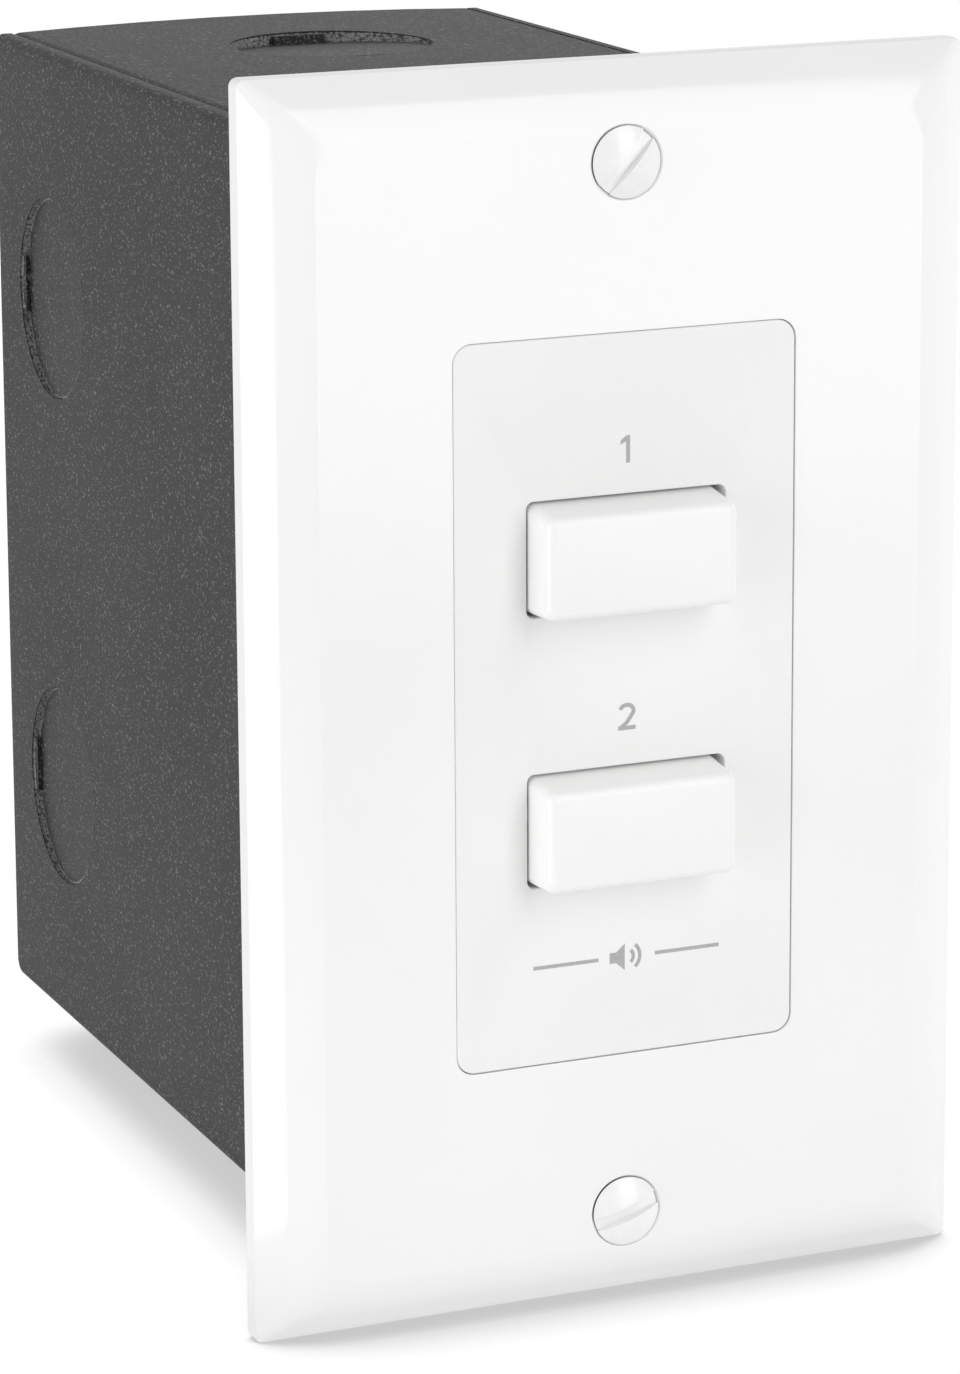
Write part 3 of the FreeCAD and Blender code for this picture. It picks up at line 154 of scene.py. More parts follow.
class Socket:
    """A socket of a finish.  Sums, differences and products with numbers or other sockets add
    Math nodes, and node adds a node of any other type."""

    def __init__(self, tree, out=None):
        self.tree, self.out = tree, out

    def node(self, kind, settings, sockets, output=0):
        """A node of a type, with its settings set first, then its sockets' values or links."""
        made = self.tree.nodes.new(kind)
        for name, value in settings.items():
            setattr(made, name, value)
        for name, value in sockets.items():
            if isinstance(value, Socket):
                self.tree.links.new(value.out, made.inputs[name])
            else:
                made.inputs[name].default_value = value
        return Socket(self.tree, made.outputs[output])

    def math(self, operation, first, second):
        """A Math node that does this operation on two values or sockets."""
        return self.node("ShaderNodeMath", {"operation": operation}, {0: first, 1: second})

    def __add__(self, other):
        return self.math("ADD", self, other)

    def __sub__(self, other):
        return self.math("SUBTRACT", self, other)

    def __mul__(self, other):
        return self.math("MULTIPLY", self, other)

    def __rsub__(self, other):
        return self.math("SUBTRACT", other, self)

    __radd__ = __add__
    __rmul__ = __mul__

    def noise(self, scale, detail=2.0, rough=0.5):
        """Cloudy noise from 0 to 1 with this many clouds to a metre."""
        place = self.node("ShaderNodeTexCoord", {}, {}, "Object")
        return self.node("ShaderNodeTexNoise", {},
                         {"Vector": place, "Scale": scale, "Detail": detail, "Roughness": rough})

    def ramp(self, low, high, first=0.0, last=1.0):
        """This value taken from low..high to first..last, and held beyond."""
        return self.node("ShaderNodeMapRange", {"interpolation_type": "SMOOTHSTEP"},
                         {"Value": self, "From Min": low, "From Max": high, "To Min": first, "To Max": last})

    def blend(self, first, last):
        """A colour between two, by this share."""
        pair = [colour if isinstance(colour, Socket) else (*colour, 1.0) for colour in (first, last)]
        return self.node("ShaderNodeMix", {"data_type": "RGBA"}, {0: self, 6: pair[0], 7: pair[1]}, 2)


def finish(name, colour, roughness, **fixed):
    """A material on one Principled shader, its even values set on the shader itself."""
    material = bpy.data.materials.new(name)
    material.use_nodes = True
    material.diffuse_color = (*colour, 1.0)
    shader = material.node_tree.nodes["Principled BSDF"]
    for socket, value in {"Base Color": (*colour, 1.0), "Roughness": roughness, **fixed}.items():
        shader.inputs[socket.replace("_", " ")].default_value = value
    return material, Socket(material.node_tree)


def feed(material, relief=None, **sockets):
    """Link what varies into the shader.  relief is (height, distance in metres) for its bump."""
    tree = material.node_tree
    shader = tree.nodes["Principled BSDF"]
    if relief:
        height, distance = relief
        sockets["Normal"] = Socket(tree).node("ShaderNodeBump", {}, {"Height": height, "Distance": distance})
    for socket, value in sockets.items():
        tree.links.new(value.out, shader.inputs[socket.replace("_", " ")])


def coat(material, *pieces):
    """Give pieces, or CAD nodes by name, one finish all over."""
    for piece in pieces:
        mesh = (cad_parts[piece] if isinstance(piece, str) else piece).data
        mesh.materials.clear()
        mesh.materials.append(material)


half_width, half_height, plate_lift = 34.925, 57.15, 5.6
rim_corner, rim_lift, rim_round = 0.8, 1.66, 0.35
low_inset, low_lift = 0.1, 1.91
step_corner, step_inset, step_lift = 1.8, 2.5, 4.1
face_corner, face_inset, bevel_slope, bevel_curve = 2.8, 5.7, 0.64, 0.86
face_width, face_height = half_width - face_inset, half_height - face_inset
opening_width, opening_height, opening_corner, opening_round = 16.65, 33.35, 1.8, 0.07
opening_margin = 0.2
plate_wall, hollow_taper, face_wall = 1.8, 3.2, 2.0
collar_wall, collar_lift = 1.2, 1.6
rib_height, rib_reach, rib_half = 13.0, 30.4, 0.5
screw_height, boss_radius, boss_lift, root_lift = 48.42, 3.2, 1.25, 4.4

# The rim, its rounded edge, the steep outer bevel and the curved inner one.
rings = [outline(half_width, half_height, rim_corner, lift) for lift in (0.0, rim_lift)]
for turn in np.radians([15, 30, 45]):
    ease = rim_round * (1 - math.cos(turn))
    rings.append(outline(half_width - ease, half_height - ease, rim_corner,
                         rim_lift + rim_round * math.sin(turn)))
for share in np.linspace(0.0, 1.0, 9)[1:]:
    inset = low_inset + (step_inset - low_inset) * share
    rings.append(outline(half_width - inset, half_height - inset, rim_corner + share,
                         low_lift + (step_lift - low_lift) * share))
for share in np.linspace(0.0, 1.0, 13)[1:]:
    inset, left = step_inset + (face_inset - step_inset) * share, 1 - share
    rings.append(outline(half_width - inset, half_height - inset, step_corner + share,
                         plate_lift - bevel_slope * left - bevel_curve * left ** 2))

# The face, the opening's rounded edge, the collar and the hollow behind.
for share in (0.02, 0.3, 0.6, 0.9):
    rings.append(outline(face_width + (opening_width + opening_margin - face_width) * share,
                         face_height + (opening_height + opening_margin - face_height) * share,
                         face_corner + (opening_corner + opening_margin - face_corner) * share, plate_lift))
for turn in np.radians([0, 30, 60, 90]):
    ease = opening_round * (1 - math.sin(turn))
    rings.append(outline(opening_width + ease, opening_height + ease, opening_corner + ease,
                         plate_lift - opening_round * (1 - math.cos(turn))))
rings.append(outline(opening_width, opening_height, opening_corner, collar_lift))
for lift in (collar_lift, plate_lift - face_wall):
    rings.append(outline(opening_width + collar_wall, opening_height + collar_wall,
                         opening_corner + collar_wall, lift))
for inset, lift in ((plate_wall + hollow_taper, plate_lift - face_wall), (plate_wall, 0.0)):
    rings.append(outline(half_width - inset, half_height - inset, rim_corner, lift))
wall_plate = shell("plate_moulding", rings, ends=False)
for side in (1, -1):
    rib = [outline(rib_reach, rib_half, 0.1, lift, z=side * rib_height) for lift in (collar_lift, root_lift)]
    carve(wall_plate, shell("rib", rib), "UNION")
    boss = turned_rings([(boss_radius, boss_lift), (boss_radius, root_lift)], 0.0, side * screw_height)
    carve(wall_plate, shell("boss", boss), "UNION")
clearance = [outline(opening_width - 0.0001, opening_height - 0.0001, opening_corner, lift)
             for lift in (1.0, 5.0)]
carve(wall_plate, shell("clearance", clearance))
sink = [(1.92, -1.0), (1.92, 3.5), (3.32, 5.42), (3.38, 5.51), (3.47, 5.58), (3.58, 5.605), (3.58, 7.0)]
for side in (1, -1):
    carve(wall_plate, shell("countersink", turned_rings(sink, 0.0, side * screw_height, 64)))
smooth(wall_plate, 9)

plate_white, start = finish("gloss_white_abs", (0.90, 0.90, 0.895), 0.15)
cloud = start.noise(30.0, 3.0)
peel = start.noise(420.0, 1.0)
feed(plate_white, relief=(peel, 0.000008), Roughness=cloud.ramp(0.3, 0.7, 0.12, 0.19),
     Base_Color=cloud.ramp(0.3, 0.7).blend((0.885, 0.886, 0.884), (0.905, 0.905, 0.90)))
coat(plate_white, wall_plate)
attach(wall_plate, "root")
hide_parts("wall_plate")

# ---- Plate screws -----------------------------------------------------------------------------
# Two oval-head slotted screws, steel under a slightly pitted white enamel, that draw the plate
# to the tongues of the strap.
screw_white, start = finish("white_enamel", (0.86, 0.86, 0.855), 0.22, Coat_Weight=0.4, Coat_Roughness=0.08)
pits = start.noise(650.0, 4.0, 0.65)
feed(screw_white, relief=(pits, 0.00002), Roughness=pits.ramp(0.3, 0.7, 0.17, 0.265),
     Base_Color=pits.ramp(0.35, 0.7).blend((0.90, 0.90, 0.895), (0.86, 0.86, 0.858)))
head_radius, head_rise, shank_radius = 3.24, 0.8, 1.75
slot_reach, slot_half, slot_floor = 4.5, 0.62, 5.4
ball = (head_radius ** 2 + head_rise ** 2) / (2 * head_rise)
tilt = np.linspace(math.asin(head_radius / ball), 0.015, 14)
dome = np.stack([ball * np.sin(tilt), plate_lift + head_rise - ball + ball * np.cos(tilt)], -1).tolist()
profile = [(1.0, -2.8), (shank_radius, -2.2), (shank_radius, 3.5), (3.16, 5.42), (3.22, 5.52)] + dome
for end, height, angle in (("upper", screw_height, 49.0), ("lower", -screw_height, 18.0)):
    screw = shell("plate_screw_" + end, turned_rings(profile, 0.0, height, 64))
    bar = outline(slot_reach, slot_half, 0.05, 0.0)
    cosine, sine = math.cos(math.radians(angle)), math.sin(math.radians(angle))
    bar = np.stack([bar[:, 0] * cosine - bar[:, 2] * sine, bar[:, 1],
                    bar[:, 0] * sine + bar[:, 2] * cosine + height], -1)
    carve(screw, shell("slot", [bar + [0, -slot_floor, 0], bar + [0, -8.0, 0]]))
    rounding = screw.modifiers.new("rounding", "BEVEL")
    rounding.width, rounding.segments, rounding.limit_method = 0.00007, 2, "ANGLE"
    rounding.angle_limit = math.radians(50)
    settle(screw)
    smooth(screw, 35)
    coat(screw_white, screw)
    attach(screw, "root")
    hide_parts("plate_screws")

# ---- Front insert -----------------------------------------------------------------------------
# The frame in the opening, moulded in white ABS with a fine matte grain.  It has a tunnel behind
# each window, and a flange that the strap holds against the standoffs.
lie_x, lie_z = -0.05, 0.03
insert_width, insert_height, insert_corner = 16.57, 33.27, 1.75
edge_lift, edge_round = 5.47, 0.23
flange_width, flange_height, flange_corner, flange_depth = 20.5, 41.3, 2.0, 2.0
hollow_width, hollow_height, hollow_lift = 14.9, 31.6, 3.7
tunnel_width, tunnel_height, tunnel_lift = 11.1, 6.65, 4.5
web_reach, web_half, web_lift = 15.5, 0.5, 4.7
window_width, window_height, window_corner = 9.7, 5.25, 0.7
window_edge = [(0.0, -3.0), (0.0, 5.45), (0.02, 5.57), (0.08, 5.66), (0.2, 5.701), (0.2, 6.5)]
hole_x, hole_z, hole_radius = 14.0, 38.0, 1.6
button_heights = {"upper": 13.5, "lower": -11.4}

rings = [outline(flange_width, flange_height, flange_corner, lift) for lift in (-flange_depth, 0.0)]
rings += [outline(insert_width, insert_height, insert_corner, lift, lie_x, lie_z)
          for lift in (0.0, edge_lift)]
for turn in np.radians([22.5, 45, 67.5, 90]):
    ease = edge_round * (1 - math.cos(turn))
    rings.append(outline(insert_width - ease, insert_height - ease, insert_corner - ease,
                         edge_lift + edge_round * math.sin(turn), lie_x, lie_z))
insert = shell("insert_moulding", rings)
hollow = shell("hollow", [outline(hollow_width, hollow_height, 0.05, lift) for lift in (-3.0, hollow_lift)])
for height in button_heights.values():
    tunnel = [outline(tunnel_width, tunnel_height, 0.05, lift, z=height) for lift in (-4.0, tunnel_lift)]
    carve(hollow, shell("tunnel", tunnel))
    web = [outline(web_reach, web_half, 0.05, lift, z=height) for lift in (-4.0, web_lift)]
    carve(hollow, shell("web", web))
carve(insert, hollow)
for height in button_heights.values():
    rings = [outline(window_width + ease, window_height + ease, window_corner + ease, lift, z=height)
             for ease, lift in window_edge]
    carve(insert, shell("window", rings))
for z in (hole_z, -hole_z):
    for x in (hole_x, -hole_x):
        carve(insert, shell("hole", turned_rings([(hole_radius, -3.0), (hole_radius, 0.5)], x, z, 32)))
smooth(insert, 30)
insert_white, start = finish("matte_white_abs", (0.87, 0.87, 0.865), 0.5)
grain = start.noise(2600.0, 2.0)
cloud = start.noise(45.0, 2.0)
feed(insert_white, relief=(grain, 0.000014), Roughness=grain.ramp(0.3, 0.7, 0.44, 0.58),
     Base_Color=cloud.ramp(0.3, 0.7).blend((0.855, 0.855, 0.85), (0.875, 0.875, 0.87)))
coat(insert_white, insert)
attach(insert, "root")
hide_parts("front_insert")

# ---- Printed marks ----------------------------------------------------------------------------
# Pad printing in grey ink on the insert: a number over each button, and below them a plain
# loudspeaker sign between two short rules.
print_grey, start = finish("grey_ink", (0.40, 0.40, 0.40), 0.6)
speckle = start.noise(4000.0).ramp(0.35, 0.65)
feed(print_grey, Base_Color=speckle.blend((0.38, 0.38, 0.38), (0.43, 0.43, 0.43)))


def stroke(way, width):
    """The outline of a pen stroke: a flat path of (x, z) points in millimetres moved to each side
    by half the width, square to the path's own direction, and joined into one loop."""
    way = np.asarray(way, float)
    ahead = np.gradient(way, axis=0)
    ahead /= np.linalg.norm(ahead, axis=1, keepdims=True)
    beside = np.stack([-ahead[:, 1], ahead[:, 0]], -1) * width / 2
    return np.concatenate([way - beside, (way + beside)[::-1]])


def ink(name, flat, x, z, crown=5.712):
    """A closed flat outline of (x, z) points, moved by x and z, as a film of ink that rises from
    just under the insert's face at 5.7 mm to the crown, about 0.01 mm above it."""
    film = [np.stack([flat[:, 0] + x, np.full(len(flat), -lift), flat[:, 1] + z], -1)
            for lift in (5.69, crown)]
    mark = shell(name, film)
    coat(print_grey, mark)
    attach(mark, "root")


one_height, two_height, sign_height = 22.8, -1.65, -24.1
number_pen, sign_pen, foot_z = 0.38, 0.34, -1.06
one = np.array([(0.19, -1.25), (0.19, 1.25), (-0.12, 1.25), (-0.72, 0.82),
                (-0.72, 0.42), (-0.19, 0.72), (-0.19, -1.25)])
ink("number_1", one, 0.1, one_height)
turn = np.radians(np.linspace(165, -42, 15))
bowl = np.stack([0.66 * np.cos(turn), 0.5 + 0.56 * np.sin(turn)], -1)
ink("number_2", stroke(bowl.tolist() + [(0.0, -0.56), (-0.66, foot_z)], number_pen), 0.0, two_height)
# The foot's film is a little thicker, so that it covers the end of the bowl where the two meet.
ink("number_2_foot", stroke([(-0.86, foot_z), (0.86, foot_z)], number_pen), 0.0, two_height, 5.716)
horn = np.array([(-1.5, -0.5), (-0.85, -0.5), (0.0, -1.25), (0.0, 1.25), (-0.85, 0.5), (-1.5, 0.5)])
ink("sign_horn", horn, -0.2, sign_height)
turn = np.radians(np.linspace(-48, 48, 9))
for number, radius in ((1, 0.75), (2, 1.4)):
    wave = np.stack([radius * np.cos(turn), radius * np.sin(turn)], -1)
    ink("sign_wave_%d" % number, stroke(wave, sign_pen), -0.1, sign_height)
for side, middle in (("left", -6.0), ("right", 6.0)):
    ink("sign_rule_" + side, stroke([(-3.2, 0.0), (3.2, 0.0)], sign_pen), middle, sign_height)

# ---- Push buttons -----------------------------------------------------------------------------
# Two caps pressed on the stems of the switches, moulded hollow in satin white ABS with rounded
# front edges.  Each tapers a little towards the room, and its return spring is behind it.
button_white, start = finish("satin_white_abs", (0.90, 0.90, 0.895), 0.3)
feed(button_white, Roughness=start.noise(90.0, 3.0).ramp(0.3, 0.7, 0.285, 0.32),
     Base_Color=start.noise(60.0).ramp(0.3, 0.7).blend((0.89, 0.89, 0.885), (0.905, 0.905, 0.90)))
spring_steel, start = finish("spring_wire", (0.42, 0.42, 0.43), 0.3, Metallic=1.0)
feed(spring_steel, Roughness=start.noise(900.0, 3.0).ramp(0.3, 0.7, 0.22, 0.42),
     Base_Color=start.noise(300.0).ramp(0.3, 0.7).blend((0.36, 0.36, 0.37), (0.5, 0.5, 0.5)))
back_width, back_height, back_corner, back_x, back_z = 9.35, 5.05, 0.9, -0.25, 0.05
front_width, front_height, front_corner, front_x, front_z = 9.25, 4.7, 0.95, -0.1, -0.2
cap_back, cap_waist, cap_shoulder, cap_round = -5.0, 4.9, 8.9, 0.8
pocket_width, pocket_height, pocket_corner, pocket_lift = 8.1, 3.65, 0.4, 7.9
coils, coil_radius, wire_radius, coil_start, coil_length = 5, 2.45, 0.25, 3.91, 6.74
for name, height in button_heights.items():
    rings = [outline(pocket_width, pocket_height, pocket_corner, lift, z=height)
             for lift in (pocket_lift, cap_back)]
    rings += [outline(back_width, back_height, back_corner, lift, back_x, height + back_z)
              for lift in (cap_back, cap_waist)]
    for turn in np.radians(np.linspace(0.0, 90.0, 9)):
        ease = cap_round * (1 - math.cos(turn))
        rings.append(outline(front_width - ease, front_height - ease, front_corner - ease * 0.5,
                             cap_shoulder + cap_round * math.sin(turn), front_x, height + front_z))
    cap = shell("button_" + name, rings)
    smooth(cap, 35)
    coat(button_white, cap)
    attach(cap, name + "_button")
    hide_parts("button_cap_" + name)

    # The wire runs along a helix whose first and last quarter turn lie flat.
    turn = np.linspace(0.0, 2 * math.pi * coils, 181)
    climb = np.clip((turn / (2 * math.pi) - 0.25) / (coils - 0.5), 0, 1)
    way = np.stack([coil_radius * np.cos(turn), coil_start + coil_length * climb,
                    height + coil_radius * np.sin(turn)], -1)
    ahead = np.gradient(way, axis=0)
    ahead /= np.linalg.norm(ahead, axis=1, keepdims=True)
    outward = np.stack([np.cos(turn), np.zeros(len(turn)), np.sin(turn)], -1)
    beside = np.cross(ahead, outward)
    angle = np.linspace(0.0, 2 * math.pi, 12, endpoint=False)[None, :, None]
    tube = way[:, None] + wire_radius * (outward[:, None] * np.cos(angle) + beside[:, None] * np.sin(angle))
    spring = shell("spring_" + name, list(tube[:, ::-1]))
    smooth(spring, 60)
    coat(spring_steel, spring)
    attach(spring, "root")
    height / 1000
    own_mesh(spring)
    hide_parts("return_spring_" + name)
coat(spring_steel, "latch_pin_upper", "latch_pin_lower")

# ---- Switches ---------------------------------------------------------------------------------
# Two latching push switches on the board: black glass-filled nylon housings, ivory acetal stems,
# brown phenolic bases, brass bridges and tinned contacts.
switch_black, start = finish("black_nylon", (0.022, 0.022, 0.024), 0.45)
fibre = start.noise(1300.0, 3.0)
feed(switch_black, relief=(fibre, 0.00001), Roughness=fibre.ramp(0.3, 0.7, 0.36, 0.55),
     Base_Color=fibre.ramp(0.4, 0.7).blend((0.018, 0.018, 0.02), (0.032, 0.032, 0.034)))
coat(switch_black, "switch_housing_upper", "switch_housing_lower")
stem_ivory, start = finish("ivory_acetal", (0.78, 0.74, 0.62), 0.35)
feed(stem_ivory, Roughness=start.noise(800.0).ramp(0.3, 0.7, 0.28, 0.42),
     Base_Color=start.noise(120.0).ramp(0.3, 0.7).blend((0.76, 0.72, 0.60), (0.80, 0.76, 0.65)))
coat(stem_ivory, "plunger_upper", "plunger_lower")
phenolic_brown, start = finish("brown_phenolic", (0.19, 0.10, 0.045), 0.5)
paper = start.noise(500.0, 4.0, 0.6)
feed(phenolic_brown, relief=(paper, 0.00001), Roughness=paper.ramp(0.3, 0.7, 0.42, 0.6),
     Base_Color=paper.ramp(0.3, 0.7).blend((0.16, 0.08, 0.035), (0.23, 0.125, 0.06)))
coat(phenolic_brown, "switch_base_upper", "switch_base_lower")
brass, start = finish("brass", (0.80, 0.58, 0.26), 0.3, Metallic=1.0)
feed(brass, Roughness=start.noise(900.0, 3.0).ramp(0.3, 0.7, 0.2, 0.42),
     Base_Color=start.noise(200.0, 3.0).ramp(0.3, 0.7).blend((0.74, 0.52, 0.22), (0.86, 0.64, 0.32)))
coat(brass, "contact_bridges_upper", "contact_bridges_lower", "standoffs", "wire_clamps")
tinned_copper, start = finish("tinned_copper", (0.72, 0.72, 0.70), 0.35, Metallic=1.0)
feed(tinned_copper, Roughness=start.noise(1200.0, 3.0).ramp(0.3, 0.7, 0.26, 0.48),
     Base_Color=start.noise(400.0).ramp(0.3, 0.7).blend((0.64, 0.64, 0.62), (0.78, 0.78, 0.76)))
coat(tinned_copper, "switch_pins_upper", "switch_pins_lower", "terminal_pins", "resistor_leads")

# ---- Circuit board ----------------------------------------------------------------------------
# Glass-epoxy laminate under green solder mask, on four brass standoffs, with the terminals for
# the amplifier and both pairs of loudspeakers and two ceramic resistors behind it.
board_green, start = finish("solder_mask", (0.02, 0.16, 0.06), 0.3)
place = start.node("ShaderNodeTexCoord", {}, {}, "Object")
x = start.node("ShaderNodeSeparateXYZ", {}, {0: place}, 0)
z = Socket(start.tree, x.out.node.outputs[2])


def stripes(place, count, half):
    """1 on stripes and 0 between them, count of them to a metre: a point lies on a stripe where
    the fraction of its place times count is nearer to 0.5 than half."""
    fraction = start.math("FRACT", (place + 0.5) * count, 0.0)
    return start.math("LESS_THAN", start.math("ABSOLUTE", fraction - 0.5, 0.0), half)


copper = stripes(x, 190.0, 0.16) * stripes(z, 34.0, 0.36)
weave = start.noise(1600.0, 2.0)
feed(board_green, relief=(copper + weave * 0.15, 0.00003), Roughness=weave.ramp(0.3, 0.7, 0.24, 0.36),
     Base_Color=copper.blend((0.015, 0.13, 0.05), (0.03, 0.24, 0.09)))
coat(board_green, "circuit_board")
terminal_green, start = finish("green_polyamide", (0.03, 0.27, 0.10), 0.42)
feed(terminal_green, Roughness=start.noise(1200.0).ramp(0.3, 0.7, 0.36, 0.5),
     Base_Color=start.noise(150.0).ramp(0.3, 0.7).blend((0.026, 0.25, 0.09), (0.036, 0.29, 0.115)))
coat(terminal_green, "input_terminal_block", "upper_terminal_block", "lower_terminal_block")
resistor_ceramic, start = finish("white_ceramic", (0.72, 0.70, 0.66), 0.75)
chalk = start.noise(1500.0, 4.0, 0.6)
feed(resistor_ceramic, relief=(chalk, 0.00004), Roughness=chalk.ramp(0.3, 0.7, 0.66, 0.85),
     Base_Color=chalk.ramp(0.3, 0.7).blend((0.66, 0.64, 0.60), (0.76, 0.74, 0.70)))
coat(resistor_ceramic, "protection_resistors")

# ---- Strap and machine screws -----------------------------------------------------------------
# The strap that insert, plate and box are screwed to is stamped from sheet steel.  It and all
# the machine screws have bright zinc plating, faintly spangled.
zinc_steel, start = finish("zinc_plating", (0.62, 0.62, 0.60), 0.34, Metallic=1.0)
spangle = start.noise(260.0, 4.0, 0.6)
feed(zinc_steel, relief=(start.noise(2200.0), 0.000006), Roughness=spangle.ramp(0.3, 0.7, 0.26, 0.46),
     Base_Color=spangle.ramp(0.3, 0.7).blend((0.54, 0.54, 0.53), (0.70, 0.70, 0.67)))
coat(zinc_steel, "mounting_strap", "strap_screws", "insert_screws", "board_screws", "terminal_screws")

# ---- Steel box --------------------------------------------------------------------------------
# One folded sheet for top, back and bottom, whose ends are welded between two side panels, all
# 1.6 mm steel in a dark textured powder coat, with knockouts still held by their webs.


def merged_copy(name, node):
    """A CAD node's solid as a piece of its own, the corners of its triangles merged."""
    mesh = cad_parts[node].data.copy()
    corners = bmesh.new()
    corners.from_mesh(mesh)
    bmesh.ops.remove_doubles(corners, verts=corners.verts, dist=0.000001)
    corners.to_mesh(mesh)
    corners.free()
    piece = bpy.data.objects.new(name, mesh)
    bpy.context.scene.collection.objects.link(piece)
    return piece


panel_depth, panel_rise, inside_depth, inside_rise = 46.05, 50.3, 44.2, 48.35
panel_seam, panel_reach, panel_round = 25.42, 26.2, 0.8
groove_start, groove_end, groove_top, groove_depth = 24.0, 25.7, 50.35, 1.1
trim_half = 1.3


def panel_ring(inset, reach, side, half_depth=panel_depth, half_rise=panel_rise, corner=1.3):
    """The side panel's outline, a rounded rectangle in depth and height, drawn in by an inset and
    set at a distance from the middle of the box on one side.  The panel starts at the wall, so
    its own half depth is also how deep its middle lies."""
    flat = outline(half_depth - inset, half_rise - inset, corner, 0.0)
    ring = np.stack([np.full(len(flat), side * reach), flat[:, 0] + panel_depth, flat[:, 2]], -1)
    return ring[::side]


# The sheet ends at the panels, and slopes down to them in a groove that is half as wide and deep
# on the right as on the left.
box_shell = merged_copy("box_folded_sheet", "box_body")
slope = np.linspace(0.0, 1.0, 13)
groove_x = np.concatenate([groove_start + (groove_end - groove_start) * slope, [groove_end, groove_start]])
groove_z = np.concatenate([groove_top - groove_depth * (1 - np.cos(math.pi / 2 * slope)), [53.0, 53.0]])
for side, share in ((1, 0.5), (-1, 1.0)):
    trim = [outline(trim_half, 60.0, 0.05, lift, side * (panel_seam + trim_half)) for lift in (-94.0, 2.0)]
    carve(box_shell, shell("trim", trim))
    across = side * (groove_end - share * (groove_end - groove_x))
    rising = groove_top + share * (groove_z - groove_top)
    for end in (1, -1):
        groove = [np.stack([across, np.full(len(across), depth), end * rising], -1)[::side * end]
                  for depth in (94.0, -2.0)]
        carve(box_shell, shell("groove", groove))

# Each panel gets a rim with a rounded outer edge, which comes up beside the end of the sheet.
rim_profile = [(0.0, panel_seam)]
for turn in np.linspace(0.0, math.pi / 2, 9):
    rim_profile.append((panel_round * (1 - math.cos(turn)), panel_reach + panel_round * math.sin(turn)))
panels = []
for hand, side in (("left", -1), ("right", 1)):
    rim = shell("rim", [panel_ring(inset, reach, side) for inset, reach in rim_profile])
    inside = [panel_ring(0.0, reach, side, inside_depth, inside_rise, 0.1) for reach in (24.0, 28.0)]
    carve(rim, shell("inside", inside))
    panel = merged_copy("box_panel_" + hand, "box_side_" + hand)
    carve(panel, rim, "UNION")
    panels.append(panel)
box_grey, start = finish("dark_powder_coat", (0.05, 0.05, 0.051), 0.55, Specular_IOR_Level=0.15)
place = start.node("ShaderNodeTexCoord", {}, {}, "Object")
x = start.node("ShaderNodeSeparateXYZ", {}, {0: place}, 0)
y, z = (Socket(start.tree, x.out.node.outputs[index]) for index in (1, 2))
rise, reach = start.math("ABSOLUTE", z, 0.0), start.math("ABSOLUTE", x, 0.0)


def within(place, low, high):
    """1 where a place lies between two bounds, and 0 elsewhere."""
    return start.math("GREATER_THAN", place, low) * start.math("LESS_THAN", place, high)


def slit(across, along, depth, surface):
    """1 on the sheared walls of a round knockout: about 10.15 mm from its centre, which lies at
    across = along = 0, and up to 3.5 mm below a level just under the sheet's surface."""
    away = start.math("SQRT", across * across + along * along, 0.0)
    near = 1 - start.math("ABSOLUTE", away - 0.01015, 0.0).ramp(0.00012, 0.0003)
    return near * within(depth, surface - 0.0035, surface)


# The grains of the coat are drawn out along the depth of the box, most of all on top.
drawn = start.math("GREATER_THAN", rise, 0.0501).blend((1.0, 0.55, 1.0), (0.85, 0.17, 1.0))
grit = start.node("ShaderNodeVectorMath", {"operation": "MULTIPLY"}, {0: place, 1: drawn})
crumble = start.node("ShaderNodeTexNoise", {},
                     {"Vector": grit, "Scale": 3900.0, "Detail": 2.0, "Roughness": 0.6})
cloud = start.noise(40.0, 3.0)
sheared = slit(rise - 0.0254, y - 0.0746, reach, 0.0269) + slit(x, y - 0.0655, rise, 0.0506)

# Along the left seam, painted shade darkens the top sheet towards the groove and darkens the groove itself
# more, and a painted highlight brightens the panel's edge beside it; the right seam gets neither.
leftward, outer = 0.0 - x, start.math("GREATER_THAN", rise, 0.0488)
# Painted shade on the top and bottom of the sheet, growing towards the left seam.
shaded = leftward.ramp(0.0215, 0.0245, 0.0, 0.5) * outer
# Painted shade, darker still, in the left seam's groove.
groove = within(leftward, 0.024, 0.02545) * rise.ramp(0.0498, 0.0503, 0.85, 0.0) * outer
# A painted highlight on the rounded edge of the left panel.
crest_highlight = within(leftward, 0.02541, 0.0256) * rise.ramp(0.05015, 0.05028, 0.0, 0.5)
tone = cloud.ramp(0.3, 0.7).blend((0.021, 0.021, 0.022), (0.027, 0.027, 0.028))
# The coat's tone under the painted shade, then with the groove's painted shade and the painted highlight on
# the panel's edge.
folded = shaded.blend(tone, (0.012, 0.012, 0.012))
seam_shade_and_highlight = crest_highlight.blend(groove.blend(folded, (0.01, 0.01, 0.01)), (0.17, 0.17, 0.173))
pitted = crumble.ramp(0.3, 0.5, 0.55, 0.0).blend(seam_shade_and_highlight, (0.013, 0.013, 0.014))
